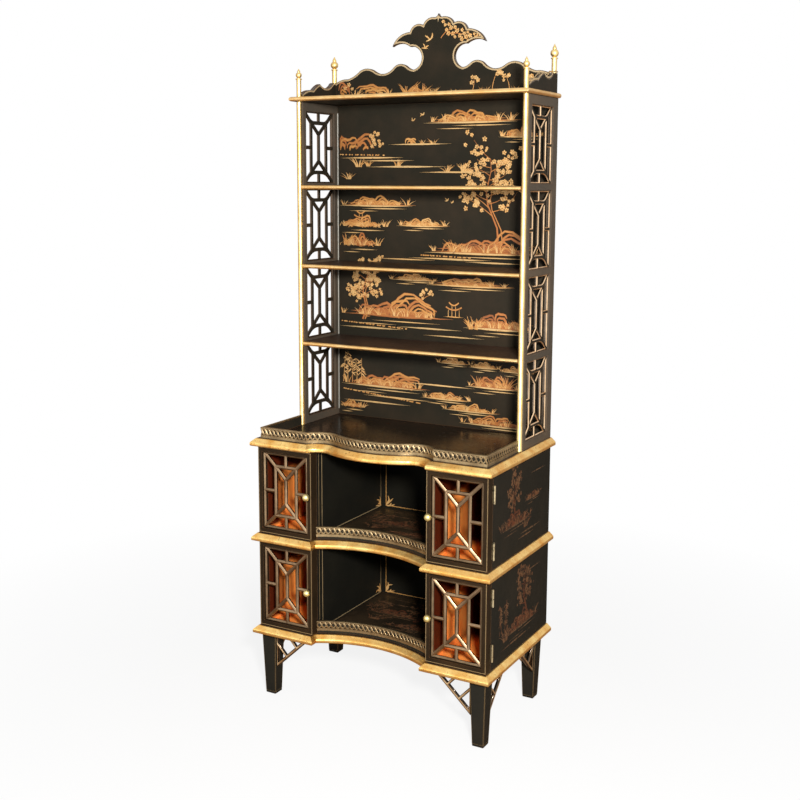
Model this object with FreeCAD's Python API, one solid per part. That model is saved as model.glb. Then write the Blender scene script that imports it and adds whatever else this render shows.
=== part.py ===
"""Lacquered display cabinet: a two tier cupboard base on legs with an open shelf stage above it.

Millimetres. +Z is up, the doors face -Y, and the origin is on the floor under the middle.
Depths are measured forward from the back plane, so ahead(468) is the front of the doors.
"""
import FreeCAD
import Part
import math
import os

# Overall depth, from the back plane to the middle of the bowed top
DEPTH = 500.0
BACK = DEPTH / 2

# Base: three boards, each wrapped on its front and sides by a moulding
LEVELS = {"bottom": 212.0, "middle": 521.0, "top": 830.0}
MOULDING_HALF_WIDTH = 418.0
MOULDING_FRONT = 488.0
MOULDING_PROJECTION = 17.0
MOULDING_PROFILE = [(15, -4), (7, -3.5), (3, -1.5), (0, 0.5), (0, 9), (2, 14), (6.5, 17.5), (11, 18.5),
                    (11.5, 20.5), (16, 21)]
BOARD_BELOW = 4.0
BOARD_ABOVE = 22.0
BLOCK_RETURN = 190.0
NICHE_CENTRE = 410.0
NICHE_SHOULDER = 463.0
HOLLOW_X = 162.0
HOLLOW_DEPTH = 458.0
HOLLOW_RADIUS = 48.0

# Carcass between the boards
PANEL = 16.0
CARCASS_HALF_WIDTH = MOULDING_HALF_WIDTH - MOULDING_PROJECTION
PARTITION_INNER = 200.0
CARCASS_FRONT = 437.5
BASE_BACK_FRONT = 24.0
BASE_BACK_REAR = 12.0

# Rims and their brass galleries
TOP_GALLERY_INSET = 25.5
NICHE_GALLERY_INSET = 22.0
GALLERY_BAND = 2.0
RIM_WALL = 6.0
CAP_OVERHANG = 1.0
CAP_HEIGHT = 4.0
TOP_RIM_HEIGHT = 30.0
NICHE_RIM_HEIGHT = 37.0
NICHE_FASCIA = 9.0

# Legs and their fret brackets
LEG_X = 372.0
LEG_FRONT = 438.0
LEG_REAR = 58.0
LEG_TOP = 51.0
LEG_FOOT = 37.0
BRACKET_REACH = 118.0
BRACKET_DROP = 110.0
BRACKET_BAR = 9.0
BRACKET_THICK = 12.0
BRACKET_OUT = 13.5
BRACKET_STRUTS = (0.34, 0.68)

# Doors, lattices, knobs and hinges
DOOR_FRONT = 468.0
DOOR_THICK = 30.0
DOOR_GAP = 1.5
DOOR_INNER = 200.5
DOOR_OUTER = 400.5
STILE = 15.5
LATTICE_SETBACK = 3.0
LATTICE_THICK = 9.0
LATTICE_BORDER = 9.0
LATTICE_BAR = 11.0
LATTICE_INNER = (0.46, 0.64)
LATTICE_APEX = 0.32
KNOB_RADIUS = 11.0
KNOB_NECK = 4.5
KNOB_STANDOFF = 11.5
KNOB_IN = 12.5
HINGE_OFFSET = 84.0
HINGE_LENGTH = 50.0
HINGE_AXIS_X = 405.5
HINGE_AXIS_DEPTH = 437.75
KNUCKLE_RADIUS = 3.5
KNUCKLE_GAP = 0.8
KNUCKLE_CLEAR = 0.6
DOOR_KNUCKLE = 20.0
LEAF_THICK = 1.5
LEAF_WIDTH = 12.0
PIN_RADIUS = 2.0
PIN_CLEARANCE = 0.05
PIN_HEAD = 3.2
PIN_HEAD_HEIGHT = 2.0

# Shelf stage
FRAME_OUTER = 400.0
FRAME_INNER = 382.0
FRAME_FRONT = 223.0
FRET_FRONT = 204.0
FRET_REAR = 36.0
FRET_THICK = 7.0
FRET_BORDER = 4.0
FRET_BAR = 12.0
FRET_INNER = (0.53, 0.70)
FRET_APEX = 0.38
FRET_ARCH_RADII = {True: 34.0, False: 60.0}
SHELF_HEIGHTS = (1124.5, 1379.0, 1633.0)
SHELF_NAMES = ("lower_shelf", "middle_shelf", "upper_shelf")
SHELF_THICK = 13.5
SHELF_FRONT = 230.0
RAIL_BELOW_SHELF = 7.0
RAIL_ABOVE_SHELF = 14.0
FRAME_BOTTOM_RAIL = 25.0
FRAME_TOP_RAIL = 28.0
BACK_BOARD_FRONT = 14.0
BACK_BOARD_REAR = 2.0
COLUMN_X = 391.0
COLUMN_DEPTH = 231.0
COLUMN_RADIUS = 8.0
COLUMN_FOOT = (10.5, 5.0)

# Cornice, cresting, wings and finials
CORNICE_Z = 1909.5
CORNICE_THICK = 14.0
CORNICE_HALF_WIDTH = 404.0
CORNICE_FRONT = 254.0
CORNICE_REAR = 4.0
CREST_FRONT = 25.0
CREST_REAR = 11.0
CREST_HALF_WIDTH = 383.0
WING_THICK = 16.0
WING_FRONT = 222.0
WING_REAR = 8.0
REAR_FINIAL_DEPTH = 18.0
REAR_FINIAL_Z = 1976.0

BOARD_TOP = LEVELS["top"] + BOARD_ABOVE
CORNICE_TOP = CORNICE_Z + CORNICE_THICK / 2
CORNICE_UNDER = CORNICE_Z - CORNICE_THICK / 2
RIGHT = 1
LEFT = -1
SIDES = {"left": LEFT, "right": RIGHT}
TIERS = {"lower": ("bottom", "middle"), "upper": ("middle", "top")}
EXTRA = 20.0

parts = {}


def ahead(depth):
    """Y of a plane that stands this far in front of the back plane."""
    return BACK - depth


def vec(x, y, z):
    return FreeCAD.Vector(x, y, z)


def block(x0, x1, y0, y1, z0, z1):
    """Box between two corners given in any order along Y."""
    low, high = min(y0, y1), max(y0, y1)
    return Part.makeBox(x1 - x0, high - low, z1 - z0, vec(x0, low, z0))


def on_side(shape, side):
    """The right-hand shape itself, or its mirror image for the left side."""
    if side == RIGHT:
        return shape
    return shape.mirror(vec(0, 0, 0), vec(1, 0, 0))


def prism(points, direction):
    """Straight-sided solid: a closed polygon pushed along a direction."""
    wire = Part.makePolygon(points + points[:1])
    return Part.Face(wire).extrude(direction)


def rod(x, y, z0, z1, radius):
    return Part.makeCylinder(radius, z1 - z0, vec(x, y, z0))


def line(a, b):
    return Part.LineSegment(a, b).toShape()


def arc(a, b, c):
    return Part.Arc(a, b, c).toShape()


def turned(profile, x, y, z):
    """Solid of revolution about a vertical axis from (radius, height) points."""
    points = [vec(0, 0, profile[0][1])] + [vec(r, 0, h) for r, h in profile] + [vec(0, 0, profile[-1][1])]
    face = Part.Face(Part.makePolygon(points + points[:1]))
    solid = face.revolve(vec(0, 0, 0), vec(0, 0, 1), 360)
    solid.translate(vec(x, y, z))
    return solid


# Plan outlines of the base, drawn inwards from the tip of the moulding

def top_outline(inset, z):
    """Serpentine plan: straight blocks, a hollow beside each one and a bow between the hollows."""
    half = MOULDING_HALF_WIDTH - inset
    front = ahead(MOULDING_FRONT - inset)
    rise = DEPTH - HOLLOW_DEPTH
    radii = (HOLLOW_X ** 2 + rise ** 2) / (2 * rise)
    hollow_y = ahead(HOLLOW_DEPTH + HOLLOW_RADIUS)
    bow_y = ahead(DEPTH) + radii - HOLLOW_RADIUS
    hollow_r = HOLLOW_RADIUS + inset
    corner = HOLLOW_X + math.sqrt(hollow_r ** 2 - (front - hollow_y) ** 2)
    share = hollow_r / radii
    turn_x = HOLLOW_X * (1 - share)
    turn_y = hollow_y + (bow_y - hollow_y) * share
    hollow_back = hollow_y + hollow_r
    return Part.Wire([
        line(vec(-half, BACK, z), vec(-half, front, z)),
        line(vec(-half, front, z), vec(-corner, front, z)),
        arc(vec(-corner, front, z), vec(-HOLLOW_X, hollow_back, z), vec(-turn_x, turn_y, z)),
        arc(vec(-turn_x, turn_y, z), vec(0, ahead(DEPTH - inset), z), vec(turn_x, turn_y, z)),
        arc(vec(turn_x, turn_y, z), vec(HOLLOW_X, hollow_back, z), vec(corner, front, z)),
        line(vec(corner, front, z), vec(half, front, z)),
        line(vec(half, front, z), vec(half, BACK, z)),
        line(vec(half, BACK, z), vec(-half, BACK, z))])


def niche_outline(inset, z):
    """Plan of the lower boards: straight blocks with a concave sweep between them."""
    half = MOULDING_HALF_WIDTH - inset
    front = ahead(MOULDING_FRONT - inset)
    sag = NICHE_SHOULDER - NICHE_CENTRE
    radius = (BLOCK_RETURN ** 2 + sag ** 2) / (2 * sag)
    centre_y = ahead(NICHE_CENTRE + radius)
    corner = BLOCK_RETURN + inset
    shoulder = centre_y + math.sqrt((radius + inset) ** 2 - corner ** 2)
    return Part.Wire([
        line(vec(-half, BACK, z), vec(-half, front, z)),
        line(vec(-half, front, z), vec(-corner, front, z)),
        line(vec(-corner, front, z), vec(-corner, shoulder, z)),
        arc(vec(-corner, shoulder, z), vec(0, centre_y + radius + inset, z), vec(corner, shoulder, z)),
        line(vec(corner, shoulder, z), vec(corner, front, z)),
        line(vec(corner, front, z), vec(half, front, z)),
        line(vec(half, front, z), vec(half, BACK, z)),
        line(vec(half, BACK, z), vec(-half, BACK, z))])


OUTLINES = {"bottom": niche_outline, "middle": niche_outline, "top": top_outline}


def slab(outline, inset, z0, z1):
    """The plan outline at one inset, pushed up from z0 to z1."""
    return Part.Face(outline(inset, z0)).extrude(vec(0, 0, z1 - z0))


def ring(outline, outer, inner, z0, z1):
    """Upright wall that follows the plan between two insets."""
    return slab(outline, outer, z0, z1).cut(slab(outline, inner, z0 - EXTRA, z1 + EXTRA))


# Boards and mouldings

for level, tip in LEVELS.items():
    outline = OUTLINES[level]
    board = slab(outline, MOULDING_PROJECTION, tip - BOARD_BELOW, tip + BOARD_ABOVE)
    sections = [outline(inset, tip + height) for inset, height in MOULDING_PROFILE]
    moulded = Part.makeLoft(sections, True, True)
    core = slab(outline, MOULDING_PROJECTION, tip - EXTRA, tip + BOARD_ABOVE + EXTRA)
    if level == "middle":
        recess = block(-CARCASS_HALF_WIDTH + PANEL, CARCASS_HALF_WIDTH - PANEL, ahead(BASE_BACK_FRONT), BACK + EXTRA,
                       tip - EXTRA, tip + BOARD_ABOVE + EXTRA)
        board = board.cut(recess)
    parts[level + "_board"] = board
    parts[level + "_moulding"] = moulded.cut(core)

# Sides, partitions and the back of the base

base_back_low = LEVELS["bottom"] + BOARD_ABOVE
base_back_high = LEVELS["top"] - BOARD_BELOW
parts["base_back"] = block(-CARCASS_HALF_WIDTH + PANEL, CARCASS_HALF_WIDTH - PANEL, ahead(BASE_BACK_FRONT),
                           ahead(BASE_BACK_REAR), base_back_low, base_back_high)


def tier_heights(tier):
    """Top of the board below a tier and underside of the board above it."""
    below, above = TIERS[tier]
    return LEVELS[below] + BOARD_ABOVE, LEVELS[above] - BOARD_BELOW


def hinge_centres(tier):
    low, high = tier_heights(tier)
    middle = (low + high) / 2
    return middle - HINGE_OFFSET, middle + HINGE_OFFSET


def hinge_mortise(z, depth0, depth1):
    """Shallow pocket that a hinge leaf is let into."""
    return block(DOOR_OUTER - LEAF_WIDTH, DOOR_OUTER + EXTRA, ahead(depth0), ahead(depth1),
                 z - HINGE_LENGTH / 2, z + HINGE_LENGTH / 2)


for tier in TIERS:
    low, high = tier_heights(tier)
    side_panel = block(CARCASS_HALF_WIDTH - PANEL, CARCASS_HALF_WIDTH, ahead(CARCASS_FRONT), BACK, low, high)
    for z in hinge_centres(tier):
        side_panel = side_panel.cut(hinge_mortise(z, CARCASS_FRONT, CARCASS_FRONT - LEAF_THICK))
    partition = block(PARTITION_INNER, PARTITION_INNER + PANEL, ahead(CARCASS_FRONT), ahead(BASE_BACK_FRONT),
                      low, high)
    for name, side in SIDES.items():
        parts[name + "_" + tier + "_side"] = on_side(side_panel, side)
        parts[name + "_" + tier + "_partition"] = on_side(partition, side)

# Rims with brass galleries on their outer faces

rim_front = block(-MOULDING_HALF_WIDTH, MOULDING_HALF_WIDTH, ahead(COLUMN_DEPTH + COLUMN_FOOT[0] + 1),
                  ahead(DEPTH + EXTRA), BOARD_TOP - EXTRA, BOARD_TOP + 100)
rim_inset = TOP_GALLERY_INSET + GALLERY_BAND
rim_top = BOARD_TOP + TOP_RIM_HEIGHT
parts["top_rim"] = ring(top_outline, rim_inset, rim_inset + RIM_WALL, BOARD_TOP, rim_top).common(rim_front)
band = ring(top_outline, TOP_GALLERY_INSET, rim_inset, BOARD_TOP, rim_top)
cap = ring(top_outline, TOP_GALLERY_INSET - CAP_OVERHANG, rim_inset + RIM_WALL + CAP_OVERHANG, rim_top,
           rim_top + CAP_HEIGHT)
parts["top_gallery"] = band.fuse(cap).common(rim_front).removeSplitter()

niche_rims = []
for tier in TIERS:
    floor = tier_heights(tier)[0]
    between = block(-PARTITION_INNER + 0.5, PARTITION_INNER - 0.5, ahead(MOULDING_FRONT), ahead(NICHE_CENTRE / 2),
                    floor - EXTRA, floor + 100)
    inset = NICHE_GALLERY_INSET + GALLERY_BAND
    rim_top = floor + NICHE_RIM_HEIGHT
    niche_rims.append(ring(niche_outline, inset, inset + RIM_WALL, floor, rim_top).common(between))
    band = ring(niche_outline, NICHE_GALLERY_INSET, inset, floor + NICHE_FASCIA, rim_top)
    cap = ring(niche_outline, NICHE_GALLERY_INSET - CAP_OVERHANG, inset + RIM_WALL + CAP_OVERHANG, rim_top,
               rim_top + CAP_HEIGHT)
    parts[tier + "_niche_gallery"] = band.fuse(cap).common(between).removeSplitter()
parts["niche_rims"] = Part.makeCompound(niche_rims)

# Fret cells: each opening is a convex polygon whose sides are moved in by half a bar

def inset_polygon(corners):
    """Corners (u, v, move) of a convex polygon, each side moved inwards by the move of its first corner."""
    area = sum(a[0] * b[1] - b[0] * a[1] for a, b in zip(corners, corners[1:] + corners[:1]))
    turn = 1 if area > 0 else -1
    sides = []
    for a, b in zip(corners, corners[1:] + corners[:1]):
        du, dv = b[0] - a[0], b[1] - a[1]
        length = math.hypot(du, dv)
        normal = (-dv / length * turn, du / length * turn)
        sides.append((normal, normal[0] * a[0] + normal[1] * a[1] + a[2]))
    moved = []
    for (n0, d0), (n1, d1) in zip(sides[-1:] + sides[:-1], sides):
        det = n0[0] * n1[1] - n0[1] * n1[0]
        moved.append(((d0 * n1[1] - d1 * n0[1]) / det, (n0[0] * d1 - n1[0] * d0) / det))
    return moved


def fret_cells(half_u, half_v, inner, apex, border, bar):
    """Openings of the lattice: a rectangle in a rectangle, with diagonals that meet on a middle bar."""
    iu, iv, av = inner[0] * half_u, inner[1] * half_v, apex * half_v
    h = bar / 2
    cells = []
    for su in (1, -1):
        for sv in (1, -1):
            end = [(0, half_v, border), (half_u, half_v, h), (iu, iv, h), (0, iv, h)]
            flank = [(half_u, half_v, border), (half_u, 0, h), (iu, 0, h), (iu, iv, h)]
            for cell in (end, flank):
                cells.append([(su * u, sv * v, move) for u, v, move in cell])
        cells.append([(su * u, v, h) for u, v in ((iu, iv), (iu, -iv), (0, -av), (0, av))])
        cells.append([(u, su * v, h) for u, v in ((-iu, iv), (iu, iv), (0, av))])
    return [inset_polygon(cell) for cell in cells]


# Legs and brackets

leg_top = LEVELS["bottom"] - BOARD_BELOW


def square(x, y, z, width):
    h = width / 2
    return Part.makePolygon([vec(x + a * h, y + b * h, z) for a, b in
                             ((-1, -1), (1, -1), (1, 1), (-1, 1), (-1, -1))])


def bracket(leg, x, y, along, out):
    """Fret bracket in the corner between a leg and the board, along one direction and near the leg's outer face."""
    start = LEG_TOP / 2
    reach, drop = BRACKET_REACH, BRACKET_DROP
    h = BRACKET_BAR / 2
    near, far = BRACKET_STRUTS
    foot_near = (reach * (1 - near), drop * near)
    foot_far = (reach * (1 - far), drop * far)
    slope = reach / drop
    head_near = foot_near[0] - foot_near[1] / slope
    head_far = foot_far[1] - foot_far[0] * slope
    outline = [(-start, 0), (reach + h, 0), (reach + h, h), (-h, drop + 2 * h), (-start, drop + 2 * h)]
    cells = [
        [(reach, 0, h), (foot_near[0], foot_near[1], h), (head_near, 0, h)],
        [(0, drop, h), (0, head_far, h), (foot_far[0], foot_far[1], h)],
        [(0, 0, h), (head_near, 0, h), (foot_near[0], foot_near[1], h), (foot_far[0], foot_far[1], h),
         (0, head_far, h)]]

    def place(u, v):
        across = vec(-along.y, along.x, 0) * (BRACKET_THICK / 2)
        return vec(x, y, leg_top - v) + out * BRACKET_OUT + along * (start + u) - across

    push = vec(-along.y, along.x, 0) * BRACKET_THICK
    plate = prism([place(u, v) for u, v in outline], push)
    for cell in cells:
        plate = plate.cut(prism([place(u, v) for u, v in inset_polygon(cell)], push))
    return plate.cut(leg)


brackets = []
for name, side in SIDES.items():
    for end, depth, inward in (("front", LEG_FRONT, 1), ("rear", LEG_REAR, -1)):
        x, y = side * LEG_X, ahead(depth)
        leg = Part.makeLoft([square(x, y, 0, LEG_FOOT), square(x, y, leg_top, LEG_TOP)], True, True)
        parts[name + "_" + end + "_leg"] = leg
        brackets.append(bracket(leg, x, y, vec(-side, 0, 0), vec(0, -inward, 0)))
        brackets.append(bracket(leg, x, y, vec(0, inward, 0), vec(side, 0, 0)))
parts["leg_brackets"] = Part.makeCompound(brackets)

# Doors, drawn for the right side and mirrored for the left

def knuckle(z0, z1, bore):
    outer = rod(HINGE_AXIS_X, ahead(HINGE_AXIS_DEPTH), z0, z1, KNUCKLE_RADIUS)
    return outer.cut(rod(HINGE_AXIS_X, ahead(HINGE_AXIS_DEPTH), z0 - 1, z1 + 1, bore))


def leaf(z, depth, spans, others, bore):
    """Hinge leaf at one depth, with knuckles at its own spans and room for those of the other leaf."""
    low, high = z - HINGE_LENGTH / 2, z + HINGE_LENGTH / 2
    y = ahead(HINGE_AXIS_DEPTH)
    plate = block(DOOR_OUTER - LEAF_WIDTH, HINGE_AXIS_X, ahead(depth), ahead(depth - LEAF_THICK), low, high)
    for z0, z1 in others:
        plate = plate.cut(rod(HINGE_AXIS_X, y, z0 - KNUCKLE_GAP, z1 + KNUCKLE_GAP, KNUCKLE_RADIUS + KNUCKLE_CLEAR))
    for z0, z1 in spans:
        plate = plate.cut(rod(HINGE_AXIS_X, y, z0, z1, (KNUCKLE_RADIUS + bore) / 2))
        plate = plate.fuse(knuckle(z0, z1, bore))
    return plate.removeSplitter()


def hinge_spans(z):
    """Height spans of the two carcass knuckles and of the door knuckle between them."""
    h, d = HINGE_LENGTH / 2, DOOR_KNUCKLE / 2
    carcass = [(z - h, z - d - KNUCKLE_GAP), (z + d + KNUCKLE_GAP, z + h)]
    return carcass, [(z - d, z + d)]


def hinge_pin(z):
    h = HINGE_LENGTH / 2
    profile = [(PIN_HEAD, -h - PIN_HEAD_HEIGHT), (PIN_HEAD, -h), (PIN_RADIUS, -h), (PIN_RADIUS, h), (PIN_HEAD, h),
               (PIN_HEAD, h + PIN_HEAD_HEIGHT)]
    return turned(profile, HINGE_AXIS_X, ahead(HINGE_AXIS_DEPTH), z)


def knob(x, z):
    """Ball knob on a short neck, with a dowel that runs through the stile."""
    ball = Part.makeSphere(KNOB_RADIUS, vec(x, ahead(DOOR_FRONT + KNOB_STANDOFF), z))
    neck = Part.makeCylinder(KNOB_NECK, KNOB_STANDOFF, vec(x, ahead(DOOR_FRONT + KNOB_STANDOFF), z), vec(0, 1, 0))
    dowel = Part.makeCylinder(KNOB_NECK / 2, DOOR_THICK, vec(x, ahead(DOOR_FRONT), z), vec(0, 1, 0))
    return ball.fuse(neck).fuse(dowel).removeSplitter()


carcass_leaves = []
pins = []
door_back = DOOR_FRONT - DOOR_THICK
for tier in TIERS:
    low, high = tier_heights(tier)
    low, high = low + DOOR_GAP, high - DOOR_GAP
    middle = (low + high) / 2
    frame = block(DOOR_INNER, DOOR_OUTER, ahead(DOOR_FRONT), ahead(door_back), low, high)
    opening = block(DOOR_INNER + STILE, DOOR_OUTER - STILE, ahead(DOOR_FRONT + EXTRA), ahead(door_back - EXTRA),
                    low + STILE, high - STILE)
    lattice_front = DOOR_FRONT - LATTICE_SETBACK
    lattice = opening.common(block(DOOR_INNER, DOOR_OUTER, ahead(lattice_front), ahead(lattice_front - LATTICE_THICK),
                                   low, high))
    centre_x = (DOOR_INNER + DOOR_OUTER) / 2
    half_u = (DOOR_OUTER - DOOR_INNER) / 2 - STILE
    half_v = (high - low) / 2 - STILE
    for cell in fret_cells(half_u, half_v, LATTICE_INNER, LATTICE_APEX, LATTICE_BORDER, LATTICE_BAR):
        points = [vec(centre_x + u, ahead(DOOR_FRONT), middle + v) for u, v in cell]
        lattice = lattice.cut(prism(points, vec(0, EXTRA, 0)))
    knob_x = DOOR_INNER + KNOB_IN
    frame = frame.cut(opening)
    frame = frame.cut(Part.makeCylinder(KNOB_NECK / 2, DOOR_THICK, vec(knob_x, ahead(DOOR_FRONT), middle),
                                        vec(0, 1, 0)))
    door_leaves = []
    for z in hinge_centres(tier):
        frame = frame.cut(hinge_mortise(z, door_back + LEAF_THICK, door_back))
        carcass_spans, door_spans = hinge_spans(z)
        door_leaves.append(leaf(z, door_back + LEAF_THICK, door_spans, carcass_spans, PIN_RADIUS + PIN_CLEARANCE))
        fixed_leaf = leaf(z, CARCASS_FRONT, carcass_spans, door_spans, PIN_RADIUS)
        for side in SIDES.values():
            carcass_leaves.append(on_side(fixed_leaf, side))
            pins.append(on_side(hinge_pin(z), side))
    for name, side in SIDES.items():
        stem = name + "_" + tier + "_door"
        parts[stem + "_frame"] = on_side(frame, side)
        parts[stem + "_lattice"] = on_side(lattice, side)
        parts[stem + "_knob"] = on_side(knob(knob_x, middle), side)
        parts[stem + "_hinge_leaves"] = on_side(Part.makeCompound(door_leaves), side)
parts["carcass_hinge_leaves"] = Part.makeCompound(carcass_leaves)
parts["hinge_pins"] = Part.makeCompound(pins)

# Shelf stage: side frames with frets, back board, shelves and columns

def bay_openings():
    """Height spans of the fret openings, from the base up to the cornice."""
    lows = [BOARD_TOP + FRAME_BOTTOM_RAIL] + [z + RAIL_ABOVE_SHELF for z in SHELF_HEIGHTS]
    highs = [z - RAIL_BELOW_SHELF for z in SHELF_HEIGHTS] + [CORNICE_UNDER - FRAME_TOP_RAIL]
    return list(zip(lows, highs))


def side_fret(z0, z1):
    """Pierced panel of one bay, whose end openings are rounded by the inner bars, more so at the foot."""
    x0 = COLUMN_X - FRET_THICK / 2
    panel = block(x0, x0 + FRET_THICK, ahead(FRET_FRONT), ahead(FRET_REAR), z0, z1)
    half_u, half_v = (FRET_FRONT - FRET_REAR) / 2, (z1 - z0) / 2
    centre_y, centre_z = ahead((FRET_FRONT + FRET_REAR) / 2), (z0 + z1) / 2
    for cell in fret_cells(half_u, half_v, FRET_INNER, FRET_APEX, FRET_BORDER, FRET_BAR):
        points = [vec(x0 - 1, centre_y + u, centre_z + v) for u, v in cell]
        cutter = prism(points, vec(FRET_THICK + 2, 0, 0))
        if len(cell) == 4 and abs(cell[0][1] - cell[1][1]) < 1e-6:
            at_bar = points[2]
            edges = [e for e in cutter.Edges if e.Length > FRET_THICK
                     and all(math.hypot(v.Y - at_bar.y, v.Z - at_bar.z) < 1e-3 for v in e.Vertexes)]
            cutter = cutter.makeFillet(FRET_ARCH_RADII[cell[0][1] > 0], edges)
        panel = panel.cut(cutter)
    return panel


side_frame = block(FRAME_INNER, FRAME_OUTER, ahead(FRAME_FRONT), BACK, BOARD_TOP, CORNICE_UNDER)
for z0, z1 in bay_openings():
    side_frame = side_frame.cut(block(FRAME_INNER - 1, FRAME_OUTER + 1, ahead(FRET_FRONT), ahead(FRET_REAR), z0, z1))
frets = [side_fret(z0, z1) for z0, z1 in bay_openings()]
column_height = CORNICE_UNDER - BOARD_TOP
foot_radius, foot_height = COLUMN_FOOT
column = turned([(foot_radius, 0), (foot_radius, foot_height), (COLUMN_RADIUS, foot_height + 1.5),
                 (COLUMN_RADIUS, column_height)], COLUMN_X, ahead(COLUMN_DEPTH), BOARD_TOP)
foot_clear = rod(COLUMN_X, ahead(COLUMN_DEPTH), BOARD_TOP - 1, BOARD_TOP + foot_height + 2, foot_radius)
side_frame = side_frame.cut(foot_clear)
for name, side in SIDES.items():
    parts[name + "_side_frame"] = on_side(side_frame, side)
    parts[name + "_side_frets"] = on_side(Part.makeCompound(frets), side)
    parts[name + "_column"] = on_side(column, side)
parts["back_board"] = block(-FRAME_INNER, FRAME_INNER, ahead(BACK_BOARD_FRONT), ahead(BACK_BOARD_REAR), BOARD_TOP,
                            CORNICE_UNDER)


def half_round(x0, x1, y, z, radius):
    """Gilt nosing: half of a rod along X, rounded towards the front."""
    whole = Part.makeCylinder(radius, x1 - x0, vec(x0, y, z), vec(1, 0, 0))
    return whole.common(block(x0, x1, y - EXTRA, y, z - EXTRA, z + EXTRA))


nosings = []
for name, z in zip(SHELF_NAMES, SHELF_HEIGHTS):
    half = SHELF_THICK / 2
    parts[name] = block(-FRAME_INNER, FRAME_INNER, ahead(SHELF_FRONT), ahead(BACK_BOARD_FRONT), z - half, z + half)
    nosings.append(half_round(-FRAME_INNER, FRAME_INNER, ahead(SHELF_FRONT), z, half))
parts["shelf_nosings"] = Part.makeCompound(nosings)

# Cornice with a half-round edge on its front and sides

parts["cornice_board"] = block(-CORNICE_HALF_WIDTH, CORNICE_HALF_WIDTH, ahead(CORNICE_FRONT), ahead(CORNICE_REAR),
                               CORNICE_UNDER, CORNICE_TOP)
edge_radius = CORNICE_THICK / 2
reach = CORNICE_HALF_WIDTH + edge_radius
front_edge = half_round(-reach, reach, ahead(CORNICE_FRONT), CORNICE_Z, edge_radius)
side_length = CORNICE_FRONT - CORNICE_REAR + edge_radius
side_edge = Part.makeCylinder(edge_radius, side_length, vec(CORNICE_HALF_WIDTH, ahead(CORNICE_FRONT + edge_radius),
                                                            CORNICE_Z), vec(0, 1, 0))
side_edge = side_edge.common(block(CORNICE_HALF_WIDTH, reach, ahead(CORNICE_FRONT + edge_radius),
                                   ahead(CORNICE_REAR), CORNICE_UNDER, CORNICE_TOP))
mitre = prism([vec(CORNICE_HALF_WIDTH, ahead(CORNICE_FRONT), CORNICE_UNDER),
               vec(reach, ahead(CORNICE_FRONT + edge_radius), CORNICE_UNDER),
               vec(reach, ahead(CORNICE_REAR), CORNICE_UNDER),
               vec(CORNICE_HALF_WIDTH, ahead(CORNICE_REAR), CORNICE_UNDER)], vec(0, 0, CORNICE_THICK))
right_edge = side_edge.common(mitre)
front_edge = front_edge.cut(mitre).cut(on_side(mitre, LEFT))
parts["cornice_nosing"] = front_edge.fuse(right_edge).fuse(on_side(right_edge, LEFT)).removeSplitter()

# Cresting: half outline of arcs (through, end) in X and Z, mirrored about the middle

CREST_TOP = (0, 2176)
CREST_ARCS = [((5, 2168), (13, 2165)), ((40, 2160.5), (54, 2144)), ((82, 2146), (102, 2124.5)),
              ((142, 2112), (165.5, 2082)), ((133, 2090.5), (101, 2079)), ((58, 2043), (87, 2007)),
              ((101, 2011), (113, 2019)), ((137, 2027), (160, 2018)), ((203, 1998.5), (232, 2008)),
              ((264, 2018), (290, 2010)), ((312, 1995), (335, 1986.5)), ((362, 1984), (CREST_HALF_WIDTH, 1974))]


def crest_point(point, side):
    return vec(side * point[0], ahead(CREST_FRONT), point[1])


def half_crest(side):
    edges = []
    start = CREST_TOP
    for through, end in CREST_ARCS:
        edges.append(arc(crest_point(start, side), crest_point(through, side), crest_point(end, side)))
        start = end
    edges.append(line(crest_point(start, side), crest_point((start[0], CORNICE_TOP), side)))
    return edges


foot = line(crest_point((CREST_HALF_WIDTH, CORNICE_TOP), RIGHT), crest_point((CREST_HALF_WIDTH, CORNICE_TOP), LEFT))
crest_edges = Part.__sortEdges__(half_crest(RIGHT) + [foot] + half_crest(LEFT))
parts["cresting"] = Part.Face(Part.Wire(crest_edges)).extrude(vec(0, CREST_FRONT - CREST_REAR, 0))

# Wings: low scalloped boards between the front and rear finials

WING_START = (WING_FRONT, 1926)
WING_ARCS = [((192, 1940), (158, 1943)), ((136, 1958), (117, 1966)), ((74, 1955), (44, 1970)),
             ((37, 1975), (30, REAR_FINIAL_Z))]


def wing():
    x = COLUMN_X - WING_THICK / 2
    edges = []
    start = WING_START
    for through, end in WING_ARCS:
        edges.append(arc(*[vec(x, ahead(depth), z) for depth, z in (start, through, end)]))
        start = end
    corners = [start, (WING_REAR, REAR_FINIAL_Z), (WING_REAR, CORNICE_TOP), (WING_FRONT, CORNICE_TOP), WING_START]
    for a, b in zip(corners, corners[1:]):
        edges.append(line(vec(x, ahead(a[0]), a[1]), vec(x, ahead(b[0]), b[1])))
    return Part.Face(Part.Wire(edges)).extrude(vec(WING_THICK, 0, 0))


for name, side in SIDES.items():
    parts[name + "_wing"] = on_side(wing(), side)

# Finials: a straight post, a collar, a ball and a pointed tip

def finial(radius, post, ball, tip, depth, z):
    """Turned finial of (radius, height) points, with the ball as a half circle of steps."""
    profile = [(radius, 0), (radius, post), (radius * 1.25, post + 1), (radius * 1.25, post + 4), (radius, post + 5)]
    centre = post + 5 + ball
    for step in range(-4, 5):
        angle = math.radians(step * 17)
        profile.append((ball * math.cos(angle), centre + ball * math.sin(angle)))
    profile += [(ball * 0.52, centre + ball * 1.08), (ball * 0.42, centre + ball * 1.45), (0.6, tip)]
    return turned(profile, COLUMN_X, ahead(depth), z)


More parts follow.
